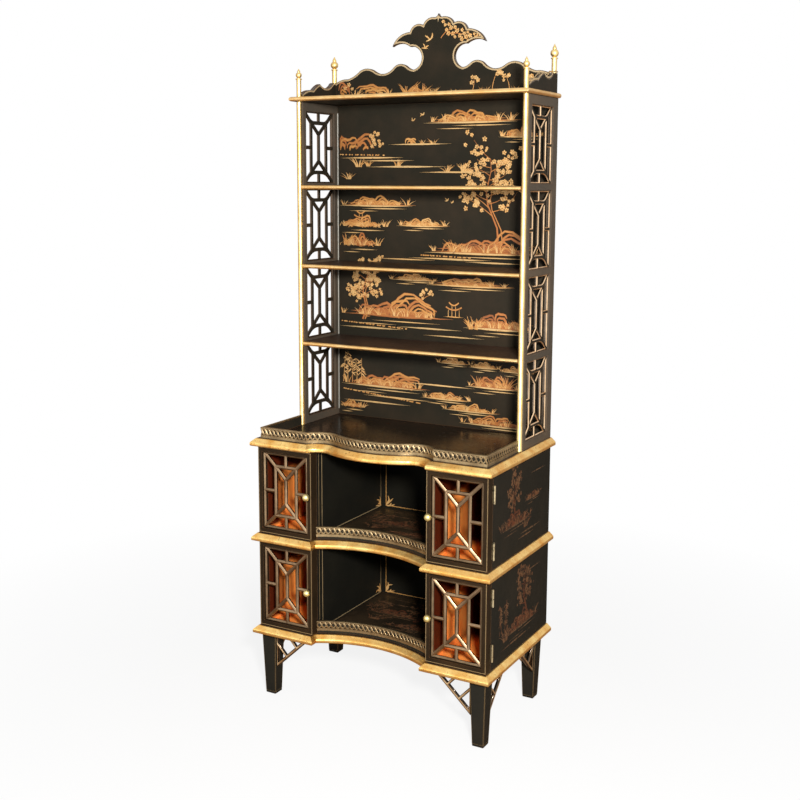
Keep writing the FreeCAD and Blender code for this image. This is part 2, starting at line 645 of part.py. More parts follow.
front_finial = finial(7.5, 54, 9.5, 2005 - CORNICE_TOP, COLUMN_DEPTH, CORNICE_TOP)
rear_finial = finial(8.0, 41, 12.5, 2062 - REAR_FINIAL_Z, REAR_FINIAL_DEPTH, REAR_FINIAL_Z)
parts["finials"] = Part.makeCompound([on_side(turning, side) for turning in (front_finial, rear_finial)
                                      for side in SIDES.values()])

os.makedirs("parts", exist_ok=True)
for name, shape in parts.items():
    shape.exportStep("parts/" + name + ".step")
    print(f"{name:34s} solids {len(shape.Solids):2d} valid {shape.isValid()} volume {shape.Volume / 1000:9.1f} cm3")
print(len(parts), "nodes")
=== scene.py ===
# %% [markdown]
# # A japanned display cabinet
# The cabinet is a two tier cupboard base with an open stage of shelves, black lacquer and gilding all over.
# The construction comes ready made as a fixed frame of named pieces. This lesson dresses every piece:
# it works out finer surfaces with numpy, gives them finishes, and sets up the light and the camera.

# %% Load the frame
import math

import bmesh
import bpy
import numpy as np
from mathutils import Matrix, Vector
from mathutils.geometry import tessellate_polygon


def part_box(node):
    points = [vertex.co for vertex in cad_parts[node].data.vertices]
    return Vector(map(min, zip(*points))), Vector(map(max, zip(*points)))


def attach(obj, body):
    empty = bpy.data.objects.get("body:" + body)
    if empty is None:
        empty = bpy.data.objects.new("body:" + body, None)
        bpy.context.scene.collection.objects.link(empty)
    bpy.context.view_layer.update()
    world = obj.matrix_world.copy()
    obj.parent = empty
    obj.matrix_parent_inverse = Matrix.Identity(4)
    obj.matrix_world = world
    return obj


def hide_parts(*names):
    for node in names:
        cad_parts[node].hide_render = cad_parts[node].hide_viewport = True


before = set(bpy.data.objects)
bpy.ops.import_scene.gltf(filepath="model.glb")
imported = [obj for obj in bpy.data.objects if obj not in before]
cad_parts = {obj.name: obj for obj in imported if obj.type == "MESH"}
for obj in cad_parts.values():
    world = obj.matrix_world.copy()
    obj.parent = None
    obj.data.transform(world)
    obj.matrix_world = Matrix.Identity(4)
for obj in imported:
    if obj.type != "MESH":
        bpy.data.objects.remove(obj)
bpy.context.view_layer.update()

MM = 0.001

# %% [markdown]
# ## From numbers to meshes
# All sizes here are millimetres, and only the last step turns them into Blender's metres.
# A surface is a grid of points, so its faces follow from the grid's size. Pieces are lists of such patches.
# A patch is (points, [(faces, finish number), ...], tone), and a finish may read the tone of its points.

# %% Helpers that build a mesh from patches
def box(name):
    """Lowest and highest corner of a frame node, in millimetres."""
    return np.array([list(corner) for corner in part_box(name)]) / MM


def quads(rows, columns, loop_rows=False, loop_columns=False):
    """Corner numbers of the quads of a grid, joined round on itself where a direction is a loop."""
    index = np.arange(rows * columns).reshape(rows, columns)
    if loop_rows:
        index = np.vstack([index, index[:1]])
    if loop_columns:
        index = np.hstack([index, index[:, :1]])
    return np.stack([index[:-1, :-1], index[:-1, 1:], index[1:, 1:], index[1:, :-1]], -1).reshape(-1, 4)


def piece(name, patches, finishes, body="cabinet", node=(), crease=35.0, closed=True):
    """One object at the origin from its patches. It rides on a body and may stand for frame nodes."""
    points, corners, sizes, finish, tones = [], [], [], [], []
    first = 0
    for place, groups, tone in patches:
        for faces, number in groups:
            corners.append(faces.ravel() + first)
            sizes.append(np.full(len(faces), faces.shape[1]))
            finish.append(np.full(len(faces), number))
        points.append(place)
        tones.append(np.broadcast_to(tone, len(place)))
        first += len(place)
    sizes = np.concatenate(sizes)
    mesh = bpy.data.meshes.new(name)
    mesh.vertices.add(first)
    mesh.vertices.foreach_set("co", (np.concatenate(points) * MM).ravel())
    mesh.loops.add(int(sizes.sum()))
    mesh.loops.foreach_set("vertex_index", np.concatenate(corners))
    mesh.polygons.add(len(sizes))
    mesh.polygons.foreach_set("loop_start", np.cumsum(sizes) - sizes)
    mesh.polygons.foreach_set("material_index", np.concatenate(finish))
    mesh.update(calc_edges=True)
    mesh.attributes.new("tone", "FLOAT", "POINT").data.foreach_set("value", np.concatenate(tones))
    if closed:
        shell = bmesh.new()
        shell.from_mesh(mesh)
        bmesh.ops.recalc_face_normals(shell, faces=shell.faces[:])
        shell.to_mesh(mesh)
        shell.free()
    mesh.shade_smooth()
    mesh.set_sharp_from_angle(angle=math.radians(crease))
    for material in finishes:
        mesh.materials.append(material)
    made = bpy.data.objects.new(name, mesh)
    bpy.context.scene.collection.objects.link(made)
    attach(made, body)
    nodes = [node] if isinstance(node, str) else list(node)
    if nodes:
        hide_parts(*nodes)
    print(f"{name}: {len(mesh.vertices)} points, {len(mesh.polygons)} faces")


# %% [markdown]
# ## Shapes that come back again and again
# Cabinet work is made of few kinds of shape: a moulding is a profile carried along a path, a board is an
# outline with some thickness, and a column is a profile turned about an axis. Each kind is one function.
# A path is offset along the mitre of its corners, so that mouldings meet as a joiner would cut them.

# %% Paths and profiles
PLAN = np.eye(3)
FRONT = np.array([[1.0, 0, 0], [0, 0, 1], [0, -1, 0]])
RIGHT_FACE = np.array([[0.0, 1, 0], [0, 0, 1], [1, 0, 0]])
LEFT_FACE = np.array([[0.0, -1, 0], [0, 0, 1], [-1, 0, 0]])
SIDES = {"left": -1, "right": 1}
SIDE_FACES = {"left": LEFT_FACE, "right": RIGHT_FACE}


def mitres(path, closed):
    """Left of travel at each point: the sum of both edges' normals over 1 plus their product."""
    edge = np.roll(path, -1, 0) - path
    edge = edge / np.linalg.norm(edge, axis=1, keepdims=True)
    after = np.stack([-edge[:, 1], edge[:, 0]], 1)
    before = np.roll(after, 1, 0)
    if not closed:
        before[0] = after[0]
        after[-1] = before[-1]
    return (after + before) / (1 + (after * before).sum(1, keepdims=True))


def carried(path, profile, closed):
    """Grid (profile, path, 3): the path moved left by each profile offset and lifted by its height."""
    profile = np.asarray(profile, float)
    flat = path[None] + profile[:, 0, None, None] * mitres(path, closed)[None]
    lift = np.broadcast_to(profile[:, 1, None, None], flat.shape[:2] + (1,))
    return np.concatenate([flat, lift], -1)


def stand(local, axes, origin):
    """Local (u, v, w) points along three axes, from an origin."""
    return local.reshape(-1, 3) @ axes + np.asarray(origin, float)


def strip(points):
    """Solid strip from a grid (closed profile, open path, 3), with flat ends."""
    rows, columns = points.shape[:2]
    ends = np.arange(rows)[None] * columns
    groups = [(quads(rows, columns, True), 0), (ends, 0), (ends + columns - 1, 0)]
    return points.reshape(-1, 3), groups, 0.0


def sweep(path, profile):
    """Solid strip along a level path: its closed profile is (offset to the left, height)."""
    return strip(carried(path, profile, False))


# %% [markdown]
# ### Boards and turned pieces
# A board has an outline and maybe holes, so its faces are not a grid. Blender fills them with triangles, and
# only the edges are carried round each loop. A turned piece is a grid again: a profile at each angle.

# %% Boards and turned pieces
def turning_way(loop, way):
    """The loop, reversed if it doesn't run the way asked for: 1 is anticlockwise."""
    u, v = loop.T
    area = (u * np.roll(v, -1) - np.roll(u, -1) * v).sum()
    return loop if area * way > 0 else loop[::-1]


def board(outline, low, high, axes=PLAN, origin=(0, 0, 0), holes=(), soften=1.0, edge=0, bevel=None,
          rim=None):
    """Flat board with holes: each loop carries a chamfered edge, and faces fill what is between the loops.

    Holes may have a wider front bevel, and front bevels may have a finish of their own, which is the rim.
    """
    bevel = soften if bevel is None else bevel
    rim = edge if rim is None else rim
    loops = [turning_way(np.asarray(outline, float), 1)]
    loops += [turning_way(np.asarray(hole, float), -1) for hole in holes]
    points, groups, rims, first = [], [], [], 0
    for number, loop in enumerate(loops):
        front = bevel if number else soften
        ring = carried(loop, [(soften, low), (0, low + soften), (0, high - front), (front, high)], True)
        count = len(loop)
        bands = quads(4, count, False, True) + first
        groups += [(bands[:2 * count], edge), (bands[2 * count:], rim)]
        rims.append(np.arange(count) + first)
        points.append(ring.reshape(-1, 3))
        first += 4 * count
    flat = [[Vector((*at, 0)) for at in points[i][:len(loops[i]), :2]] for i in range(len(loops))]
    flat_top = [[Vector((*at, 0)) for at in points[i][-len(loops[i]):, :2]] for i in range(len(loops))]
    fill, fill_top = np.array(tessellate_polygon(flat)), np.array(tessellate_polygon(flat_top))
    under = np.concatenate(rims)[fill]
    above = np.concatenate([ring + 3 * len(ring) for ring in rims])[fill_top]
    groups += [(under, 0), (above[:, ::-1], 0)]
    return stand(np.concatenate(points), axes, origin), groups, 0.0


def slab(low, high, soften):
    """Softened block between two corners, cut as a board from its plan."""
    (x0, y0, z0), (x1, y1, z1) = low, high
    c = soften
    plan = [(x0 + c, y0), (x1 - c, y0), (x1, y0 + c), (x1, y1 - c), (x1 - c, y1), (x0 + c, y1), (x0, y1 - c),
            (x0, y0 + c)]
    return board(plan, z0, z1, soften=c)


TURNED_SIDES = 40


def turned(profile, axes=PLAN, origin=(0, 0, 0)):
    """Turned piece: (radius, height) points spun about the local w axis, with small flat ends."""
    profile = np.asarray(profile, float)
    angle = np.linspace(0, 2 * np.pi, TURNED_SIDES, endpoint=False)
    ring = np.stack([np.cos(angle), np.sin(angle)], -1)
    flat = profile[:, 0, None, None] * ring[None]
    lift = np.broadcast_to(profile[:, 1, None, None], flat.shape[:2] + (1,))
    count = len(profile)
    ends = np.arange(TURNED_SIDES)[None]
    groups = [(quads(count, TURNED_SIDES, False, True), 0), (ends[:, ::-1], 0),
              (ends + (count - 1) * TURNED_SIDES, 0)]
    return stand(np.concatenate([flat, lift], -1), axes, origin), groups, 0.0


# %% [markdown]
# ### Curves
# Profiles and outlines are drawn from a few points. A smooth curve suits a moulding or a knob, and circle
# arcs suit plans and sawn edges, which a maker sets out with compasses.

# %% Curves through points
def through(points, per_span):
    """Smooth curve through points: each span is a cubic whose end slopes follow its neighbours."""
    p = np.asarray(points, float)
    wide = np.vstack([2 * p[0] - p[1], p, 2 * p[-1] - p[-2]])
    a, b, c, d = (wide[i:len(wide) - 3 + i, None] for i in range(4))
    t = np.linspace(0, 1, per_span, endpoint=False)[None, :, None]
    curve = 0.5 * (2 * b + (c - a) * t + (2 * a - 5 * b + 4 * c - d) * t ** 2
                   + (3 * b - a - 3 * c + d) * t ** 3)
    return np.vstack([curve.reshape(-1, p.shape[1]), p[-1:]])


def arc(centre, radius, start, stop, count=28):
    """Points on a circle between two angles in degrees."""
    angle = np.radians(np.linspace(start, stop, count))
    return np.stack([centre[0] + radius * np.cos(angle), centre[1] + radius * np.sin(angle)], -1)


def arc_through(a, b, c, count=12):
    """Points on the circle through three points, from the first to the last, without the first."""
    a, b, c = (np.asarray(p, float) for p in (a, b, c))
    lines = 2 * np.array([b - a, c - a])
    centre = np.linalg.solve(lines, [b @ b - a @ a, c @ c - a @ a])
    angles = np.unwrap([math.atan2(*(p - centre)[::-1]) for p in (a, b, c)])
    return arc(centre, np.linalg.norm(a - centre), *np.degrees(angles[[0, 2]]), count)[1:]


def rectangle(u0, u1, v0, v1):
    """Corners of a rectangle, anticlockwise from the lowest u and v."""
    return np.array([(u0, v0), (u1, v0), (u1, v1), (u0, v1)], float)


# %% [markdown]
# ## Finishes
# Colours are sRGB hex values, as a paint card gives them, and one function turns them to linear light.
# Another adds a node with its settings and links. Pattern sizes are real ones: every(9) repeats each 9 mm.

# %% Colour and node helpers
def colour(code):
    """Linear RGBA of an sRGB hex colour."""
    s = np.array([int(code[i:i + 2], 16) for i in (1, 3, 5)]) / 255
    linear = np.where(s <= 0.04045, s / 12.92, ((s + 0.055) / 1.055) ** 2.4)
    return (*map(float, linear), 1.0)


def every(size):
    """Repeats per metre of a pattern with this size in millimetres."""
    return 1.0 / (size * MM)


def node(owner, kind, inputs=None, **settings):
    """Adds a node. Settings go to its properties, and each input is a value or another node's output."""
    made = owner.node_tree.nodes.new("ShaderNode" + kind)
    for key, value in settings.items():
        setattr(made, key, value)
    for key, value in (inputs or {}).items():
        if isinstance(value, bpy.types.NodeSocket):
            owner.node_tree.links.new(value, made.inputs[key])
        else:
            made.inputs[key].default_value = value
    return made


def new_finish(name):
    """Empty node material, its surface shader, and the object coordinates that its patterns use."""
    material = bpy.data.materials.new(name)
    material.use_nodes = True
    shader = material.node_tree.nodes["Principled BSDF"]
    return material, shader, node(material, "TexCoord").outputs["Object"]


MIX_A, MIX_B, MIX_RESULT = 6, 7, 2

# %% [markdown]
# ### Black japanning
# Japanning is many coats of dark varnish on wood, rubbed smooth and waxed. The eye sees a warm black with a
# soft shine, clouded by age, with brown wood showing where edges have been rubbed. The rubbed edges come from
# a bevel node: near an edge its rounded normal turns away from the true one, and noise breaks the result up.
# Inside the cupboards the same boards are japanned vermilion, so one mask in object coordinates picks the
# colour. Painted shade darkens it towards the back and the top, and on the walls towards the front, as in the
# photograph.

# %% Black and vermilion japanning
# The inside of the right cupboards, which the left ones mirror.
CUPBOARD_X = (208.0, 393.0)
CUPBOARD_Y = (-187.2, 225.5)
CUPBOARD_Z = (233.0, 825.5)
VERMILION = "#f4762f"
BRIGHT_VERMILION = "#ffaa52"
# Colour of the painted shade deep inside the cupboards.
SHADED_VERMILION = "#4c1c0c"
BARE_WOOD = "#5a3a22"
# Painted shade, from clear to dark: towards the back, the front and the top.
# The last one runs from the floor to the wall.
PAINTED_SHADE_BACK = (-15.0, 50.0)
PAINTED_SHADE_FRONT = (-100.0, -138.0)
PAINTED_SHADE_TOP = (394.0, 424.0)
OFF_FLOOR = (237.0, 250.0)
TIER_PITCH = 309.0


def japanning(name, shine, gloss, ground, clouds, lined=False):
    """Japanned wood: shine is its roughness, gloss its reflection's level and clouds the colour of its haze.

    The worn share is nearness to an edge times noise. A lined finish is vermilion inside the cupboards,
    darkened with painted shade towards their back, their top and the front of their walls.
    """
    material, shader, spot = new_finish(name)
    haze = node(material, "TexNoise", {"Vector": spot, "Scale": every(160), "Detail": 6.0, "Roughness": 0.62})
    rub = node(material, "TexNoise", {"Vector": spot, "Scale": every(14), "Detail": 8.0, "Roughness": 0.7})
    soft = node(material, "Bevel", {"Radius": 4 * MM}, samples=4)
    true = node(material, "NewGeometry")
    turn = node(material, "VectorMath", {0: soft.outputs[0], 1: true.outputs["Normal"]},
                operation="DOT_PRODUCT")
    near_edge = node(material, "MapRange", {"Value": turn.outputs["Value"], "From Min": 0.995,
                                            "From Max": 0.80})
    worn = node(material, "Math", {0: near_edge.outputs[0], 1: rub.outputs[0]}, operation="MULTIPLY")
    bare = node(material, "MapRange", {"Value": worn.outputs[0], "From Min": 0.24, "From Max": 0.5})
    cloudy = node(material, "MapRange", {"Value": haze.outputs[0], "From Min": 0.42, "From Max": 0.75})
    black = node(material, "Mix", {0: cloudy.outputs[0], MIX_A: colour(ground), MIX_B: colour(clouds)},
                 data_type="RGBA")
    coat = black.outputs[MIX_RESULT]
    if lined:
        parts = node(material, "SeparateXYZ", {0: spot})
        across = node(material, "Math", {0: parts.outputs[0]}, operation="ABSOLUTE")
        inside = None
        for output, (low, high) in ((across.outputs[0], CUPBOARD_X), (parts.outputs[1], CUPBOARD_Y),
                                    (parts.outputs[2], CUPBOARD_Z)):
            middle, half = (low + high) / 2 * MM, (high - low) / 2 * MM
            near = node(material, "Math", {0: output, 1: middle, 2: half}, operation="COMPARE")
            if inside is None:
                inside = near
            else:
                inside = node(material, "Math", {0: inside.outputs[0], 1: near.outputs[0]},
                              operation="MULTIPLY")
        streak = node(material, "TexNoise", {"Vector": spot, "Scale": every(40), "Detail": 5.0})
        red = node(material, "Mix", {0: streak.outputs[0], MIX_A: colour(VERMILION),
                                     MIX_B: colour(BRIGHT_VERMILION)}, data_type="RGBA")
        above = node(material, "Math", {0: parts.outputs[2], 1: (CUPBOARD_Z[0] + TIER_PITCH) * MM,
                                         2: CUPBOARD_Z[0] * MM}, operation="WRAP")
        shades = []
        for output, (clear, dark) in ((parts.outputs[1], PAINTED_SHADE_BACK), (parts.outputs[1], PAINTED_SHADE_FRONT),
                                      (above.outputs[0], PAINTED_SHADE_TOP), (above.outputs[0], OFF_FLOOR)):
            shade = node(material, "MapRange", {"Value": output, "From Min": clear * MM,
                                                "From Max": dark * MM})
            shades.append(shade.outputs[0])
        back, front, top, wall = shades
        on_wall = node(material, "Math", {0: front, 1: wall}, operation="MULTIPLY")
        ends = node(material, "Math", {0: back, 1: on_wall.outputs[0]}, operation="MAXIMUM")
        # Painted shade: darker towards the back, the top and, on the walls, the front, where little light
        # gets in.
        painted_shade = node(material, "Math", {0: ends.outputs[0], 1: top}, operation="MAXIMUM")
        shaded_red = node(material, "Mix", {0: painted_shade.outputs[0], MIX_A: red.outputs[MIX_RESULT],
                                       MIX_B: colour(SHADED_VERMILION)}, data_type="RGBA")
        lining = node(material, "Mix", {0: inside.outputs[0], MIX_A: coat, MIX_B: shaded_red.outputs[MIX_RESULT]},
                      data_type="RGBA")
        coat = lining.outputs[MIX_RESULT]
    edged = node(material, "Mix", {0: bare.outputs[0], MIX_A: coat, MIX_B: colour(BARE_WOOD)},
                 data_type="RGBA")
    rough = node(material, "MapRange", {"Value": rub.outputs[0], "From Min": 0.3, "From Max": 0.7,
                                        "To Min": shine - 0.05, "To Max": shine + 0.09})
    skin = node(material, "TexNoise", {"Vector": spot, "Scale": every(5), "Detail": 3.0})
    bump = node(material, "Bump", {"Height": skin.outputs[0], "Strength": 0.05, "Distance": 0.4 * MM})
    links = material.node_tree.links
    links.new(edged.outputs[MIX_RESULT], shader.inputs["Base Color"])
    links.new(rough.outputs[0], shader.inputs["Roughness"])
    links.new(bump.outputs[0], shader.inputs["Normal"])
    shader.inputs["Specular IOR Level"].default_value = gloss
    return material


# Rims, back, cornice and cresting: a dull, warm black.
black_japanning = japanning("black_japanned_wood", 0.40, 0.04, "#25221b", "#332a20")
# Door frames: a browner black.
door_japanning = japanning("brown_black_door_japanning", 0.40, 0.04, "#231a10", "#312315")
# Side frames: a paler, greyer black with a little more shine.
rubbed_japanning = japanning("rubbed_black_japanning", 0.36, 0.08, "#474037", "#574a3c")
# Top of the base: the shiniest black.
polished_japanning = japanning("polished_black_japanning", 0.2, 0.12, "#231a12", "#30231a")
# Shelves: a brown sheen under wax.
waxed_japanning = japanning("waxed_brown_japanning", 0.4, 0.05, "#3a2d25", "#4d3b2f")
# Partitions and base back: the deepest black in the niches, vermilion in the cupboards.
niche_japanning = japanning("niche_japanning_with_vermilion_cupboards", 0.34, 0.05, "#181713", "#1e1c16",
                            True)
# Sides and legs: almost without shine, vermilion in the cupboards.
lined_japanning = japanning("black_japanning_with_vermilion_cupboards", 0.38, 0.012, "#22201b", "#2a251e",
                            True)
# Lower boards: a browned black, vermilion in the cupboards.
brown_japanning = japanning("browned_japanning_with_vermilion_cupboards", 0.34, 0.10, "#231c14", "#3e3122",
                            True)
japanned_finishes = (black_japanning, door_japanning, rubbed_japanning, polished_japanning, waxed_japanning,
                     niche_japanning, lined_japanning, brown_japanning)
print("japanning:", [material.name for material in japanned_finishes])

# %% [markdown]
# ### Gold leaf and bronzed gilding
# The mouldings and columns are gold leaf laid over red clay on gesso. Leaf is a real metal surface, so
# metallic is 1 and the colour is the reflection's. Two golds lie in clouds, and specks are worn down to the
# clay. A pixel of the picture is about 3 mm on the cabinet, so no speck is drawn smaller than 5 mm.
# Toned and bronzed gilding and the brass fittings are the same recipe with other colours.

# %% Gilding
def gilding(name, bright, deep, clay, speck, rough_low, rough_high, wear, varnish):
    """Gilt surface: two golds in clouds, worn to clay in specks of a size in mm, under a share of varnish."""
    material, shader, spot = new_finish(name)
    cloud = node(material, "TexNoise", {"Vector": spot, "Scale": every(45), "Detail": 5.0, "Roughness": 0.6})
    fleck = node(material, "TexNoise", {"Vector": spot, "Scale": every(speck), "Detail": 6.0,
                                        "Roughness": 0.68})
    tint = node(material, "MapRange", {"Value": cloud.outputs[0], "From Min": 0.35, "From Max": 0.68})
    gold = node(material, "Mix", {0: tint.outputs[0], MIX_A: colour(bright), MIX_B: colour(deep)},
                data_type="RGBA")
    worn = node(material, "MapRange", {"Value": fleck.outputs[0], "From Min": wear, "From Max": wear + 0.12})
    leaf = node(material, "Mix", {0: worn.outputs[0], MIX_A: gold.outputs[MIX_RESULT], MIX_B: colour(clay)},
                data_type="RGBA")
    rough = node(material, "MapRange", {"Value": fleck.outputs[0], "From Min": 0.35, "From Max": 0.7,
                                        "To Min": rough_low, "To Max": rough_high})
    bump = node(material, "Bump", {"Height": fleck.outputs[0], "Strength": 0.12, "Distance": 0.5 * MM})
    links = material.node_tree.links
    links.new(leaf.outputs[MIX_RESULT], shader.inputs["Base Color"])
    links.new(rough.outputs[0], shader.inputs["Roughness"])
    links.new(bump.outputs[0], shader.inputs["Normal"])
    shader.inputs["Metallic"].default_value = 1.0
    shader.inputs["Coat Weight"].default_value = varnish
    shader.inputs["Coat Roughness"].default_value = rough_low
    return material


# Mouldings of the base: a bright yellow gold with fine wear.
gold_leaf = gilding("water_gilded_gesso", "#fbd88a", "#e3a64e", "#9b672f", 6, 0.34, 0.5, 0.57, 0.15)
# Columns and finials: a paler, more even gold.
burnished_gold = gilding("burnished_gold_leaf", "#efd596", "#dcb970", "#b1884a", 24, 0.42, 0.52, 0.66, 0.15)
# Nosings: an even gold with a little orange.
toned_gold = gilding("toned_gold_leaf", "#f2cd8f", "#e0b069", "#a87640", 24, 0.34, 0.46, 0.66, 0.15)
# Cut edges and the flanks of bars: a dark brown gleam.
bronzed_gilding = gilding("bronzed_gilding", "#4f4030", "#382c20", "#221911", 6, 0.2, 0.34, 0.6, 0.5)
# Ridges of the brackets: a dusty gold.
bracket_gilding = gilding("toned_bracket_gilding", "#d6ba90", "#ab8c62", "#5f4a32", 6, 0.42, 0.56, 0.6, 0.15)
# Ridges of the lattices: a brown gold, brighter on facets that face the lamp.
lattice_gilding = gilding("toned_lattice_gilding", "#967c5f", "#705b44", "#3a2c20", 6, 0.36, 0.48, 0.6, 0.1)
# Borders of the lattices: nearly the same brown gold under more varnish.
border_gilding = gilding("toned_lattice_border", "#927a5c", "#6f5b43", "#3c3023", 6, 0.38, 0.5, 0.6, 0.2)
# Bevels of the side frets: a pale gold line round each opening.
pale_gilding = gilding("pale_gilt_bevel", "#f4d3aa", "#d9b083", "#8a6846", 6, 0.3, 0.46, 0.62, 0.3)
# Galleries: a dull brass, browned by age.
aged_brass = gilding("aged_gallery_brass", "#a8926c", "#7d684a", "#3f3222", 5, 0.4, 0.54, 0.6, 0.2)
# Knobs: a pale yellow brass, kept bright by hands.
polished_brass = gilding("polished_brass", "#efe3a6", "#dcc884", "#99804c", 6, 0.44, 0.56, 0.62, 0.15)
# Hinges: a dull brass with dark worn spots.
hinge_brass = gilding("dull_hinge_brass", "#cdbb94", "#b5a078", "#33291d", 14, 0.36, 0.5, 0.52, 0.3)
gilt_finishes = (gold_leaf, burnished_gold, toned_gold, bronzed_gilding, bracket_gilding, lattice_gilding,
                 border_gilding, pale_gilding, aged_brass, polished_brass, hinge_brass)
print("gilding:", [material.name for material in gilt_finishes])

# %% [markdown]
# ### Gold powder painting
# Japanners painted landscapes in size and dusted gold and copper powders over them. Each brush stroke here
# carries a tone of its own, from copper in the shadows to pale gold, and the finish turns it into colour.
# Pictures that are often polished wear thin, so a second, rubbed finish lets the black come through.

# %% Powder gilding
TONE_STOPS = (0.0, 0.2, 0.48, 0.76, 1.0)
BARE_TONE = -0.25


def powder_gilding(name, shades, ground, fade, metal, gloss=0.5):
    """Strokes coloured by their tone attribute: bare ground, copper, orange, pale gold and grey gold.

    A higher fade lets less of the ground show through in worn spots.
    """
    material, shader, spot = new_finish(name)
    tone = node(material, "Attribute", attribute_name="tone").outputs["Fac"]
    grain = node(material, "TexNoise", {"Vector": spot, "Scale": every(11), "Detail": 6.0, "Roughness": 0.65})
    level = node(material, "MapRange", {"Value": tone, "From Min": BARE_TONE})
    scale = node(material, "ValToRGB", {"Fac": level.outputs[0]})
    stops = scale.color_ramp.elements
    for place in TONE_STOPS[1:-1]:
        stops.new(place)
    for stop, place, shade in zip(stops, TONE_STOPS, (ground, *shades)):
        stop.position = place
        stop.color = colour(shade)
    thin = node(material, "MapRange", {"Value": grain.outputs[0], "From Min": fade, "From Max": fade + 0.16})
    ink = node(material, "Mix", {0: thin.outputs[0], MIX_A: scale.outputs[0], MIX_B: colour(ground)},
               data_type="RGBA")
    bump = node(material, "Bump", {"Height": grain.outputs[0], "Strength": 0.1, "Distance": 0.3 * MM})
    material.node_tree.links.new(ink.outputs[MIX_RESULT], shader.inputs["Base Color"])
    material.node_tree.links.new(bump.outputs[0], shader.inputs["Normal"])
    shader.inputs["Metallic"].default_value = metal
    shader.inputs["Roughness"].default_value = 0.46
    shader.inputs["Specular IOR Level"].default_value = gloss
    return material


# Fresh pictures: copper and gold that stand out from the black.
gold_powder = powder_gilding("gold_powder_painting", ("#a05c2c", "#c48c48", "#dab67c", "#a48e68"), "#2c231a",
                             0.6, 0.4)
# Worn pictures: a brown shadow without a metal shine.
rubbed_powder = powder_gilding("rubbed_gold_powder_painting", ("#5a3120", "#603d28", "#684e36", "#483a2c"),
                               "#211e19", 0.46, 0.0, 0.03)
# Lines: a quiet, greyish gold.
line_gold = powder_gilding("gilt_lining", ("#6d5636", "#8f7a58", "#c2a880", "#88847b"), "#3a3026", 0.6, 0.3,
                           0.2)
print("powder:", gold_powder.name, rubbed_powder.name, line_gold.name)

# %% [markdown]
# ## The base
# Three boards carry the base. The top one has a serpentine front: square blocks at the ends, a hollow beside
# each, and a bow between them. The lower two sweep inwards between the blocks, in front of the niches.
# Both plans are paths of straight runs and arcs, walked from the left rear corner round the front.

# %% Plans of the boards
BACK = box("top_board")[1][1]
HALF_WIDTH = box("top_moulding")[1][0]
BLOCK_FRONT = box("middle_moulding")[0][1]
BOW_TIP = box("top_moulding")[0][1]
PROJECTION = HALF_WIDTH - box("top_board")[1][0]
HOLLOW_X = 162.0
HOLLOW_BACK = -208.0
HOLLOW_RADIUS = 48.0
RETURN_X = 190.0
SHOULDER = -213.0
NICHE_MIDDLE = -160.0


def both_halves(left):
    """A left half path and its mirror image, which share the point on the middle line."""
    return np.vstack([left, left[-2::-1] * (-1, 1)])


def serpentine(inset):
    """Block, hollow arc and bow arc, tangent where they meet, all this far inside the tip of the moulding."""
    rise = HOLLOW_BACK - BOW_TIP
    sum_of_radii = (HOLLOW_X ** 2 + rise ** 2) / (2 * rise)
    hollow = np.array([-HOLLOW_X, HOLLOW_BACK - HOLLOW_RADIUS])
    bow = np.array([0.0, BOW_TIP + sum_of_radii - HOLLOW_RADIUS])
    side, front, radius = HALF_WIDTH - inset, BLOCK_FRONT + inset, HOLLOW_RADIUS + inset
    start = 180 - math.degrees(math.asin((front - hollow[1]) / radius))
    meet = math.degrees(math.atan2(*(bow - hollow)[::-1]))
    left = [[(-side, BACK), (-side, front)], arc(hollow, radius, start, meet),
            arc(bow, sum_of_radii - radius, meet + 180, 270)[1:]]
    return both_halves(np.vstack(left))


def niche_arc(inset, half):
    """The concave sweep of the niche, this far inside the moulding and up to a half width."""
    sag = NICHE_MIDDLE - SHOULDER
    radius = (RETURN_X ** 2 + sag ** 2) / (2 * sag)
    reach = math.degrees(math.asin(half / (radius + inset)))
    return arc((0, NICHE_MIDDLE - radius), radius + inset, 90 + reach, 90 - reach, 49)


def niche_plan(inset):
    """Blocks with square returns and the concave sweep between them."""
    side, front, corner = HALF_WIDTH - inset, BLOCK_FRONT + inset, RETURN_X + inset
    ends = np.array([(-side, BACK), (-side, front), (-corner, front)])
    return np.vstack([ends, niche_arc(inset, corner), ends[::-1] * (-1, 1)])


def plan_sweep(plan, profile):
    """Solid strip round a plan: each profile point (inset, height) follows the plan drawn at its inset."""
    rings = [plan(inset) for inset, _ in profile]
    return strip(np.stack([np.column_stack([ring, np.full(len(ring), height)])
                           for ring, (_, height) in zip(rings, profile)]))


PLANS = {"top": serpentine, "middle": niche_plan, "bottom": niche_plan}
print("serpentine points", len(serpentine(0)), "niche plan points", len(niche_plan(0)))

# %% [markdown]
# ### Boards and mouldings
# A joiner glues a gilt moulding round each board and mitres it at the corners. Here the profile is a smooth
# curve through a few points. Each point follows the plan at its own inset, which makes the mitres too.

# %% Boards and their gilt mouldings
TIP_ABOVE_UNDERSIDE = 4.0
MOULDING_FOOT = -4
MOULDING_TOP = 21
MOULDING_LAP = 0.5
MOULDING_PROFILE = [(15, MOULDING_FOOT), (8, -3.8), (3.2, -3.0), (1.2, -1.8), (0.2, 0), (0, 2), (0, 5),
                    (0.3, 7.4), (1.2, 9.2), (3.0, 11.2), (6.4, 14.2), (9.8, 17.2), (12.2, 19.4), (13.4, 20.5),
                    (14.4, MOULDING_TOP)]
BACK_NOTCH = box("base_back")

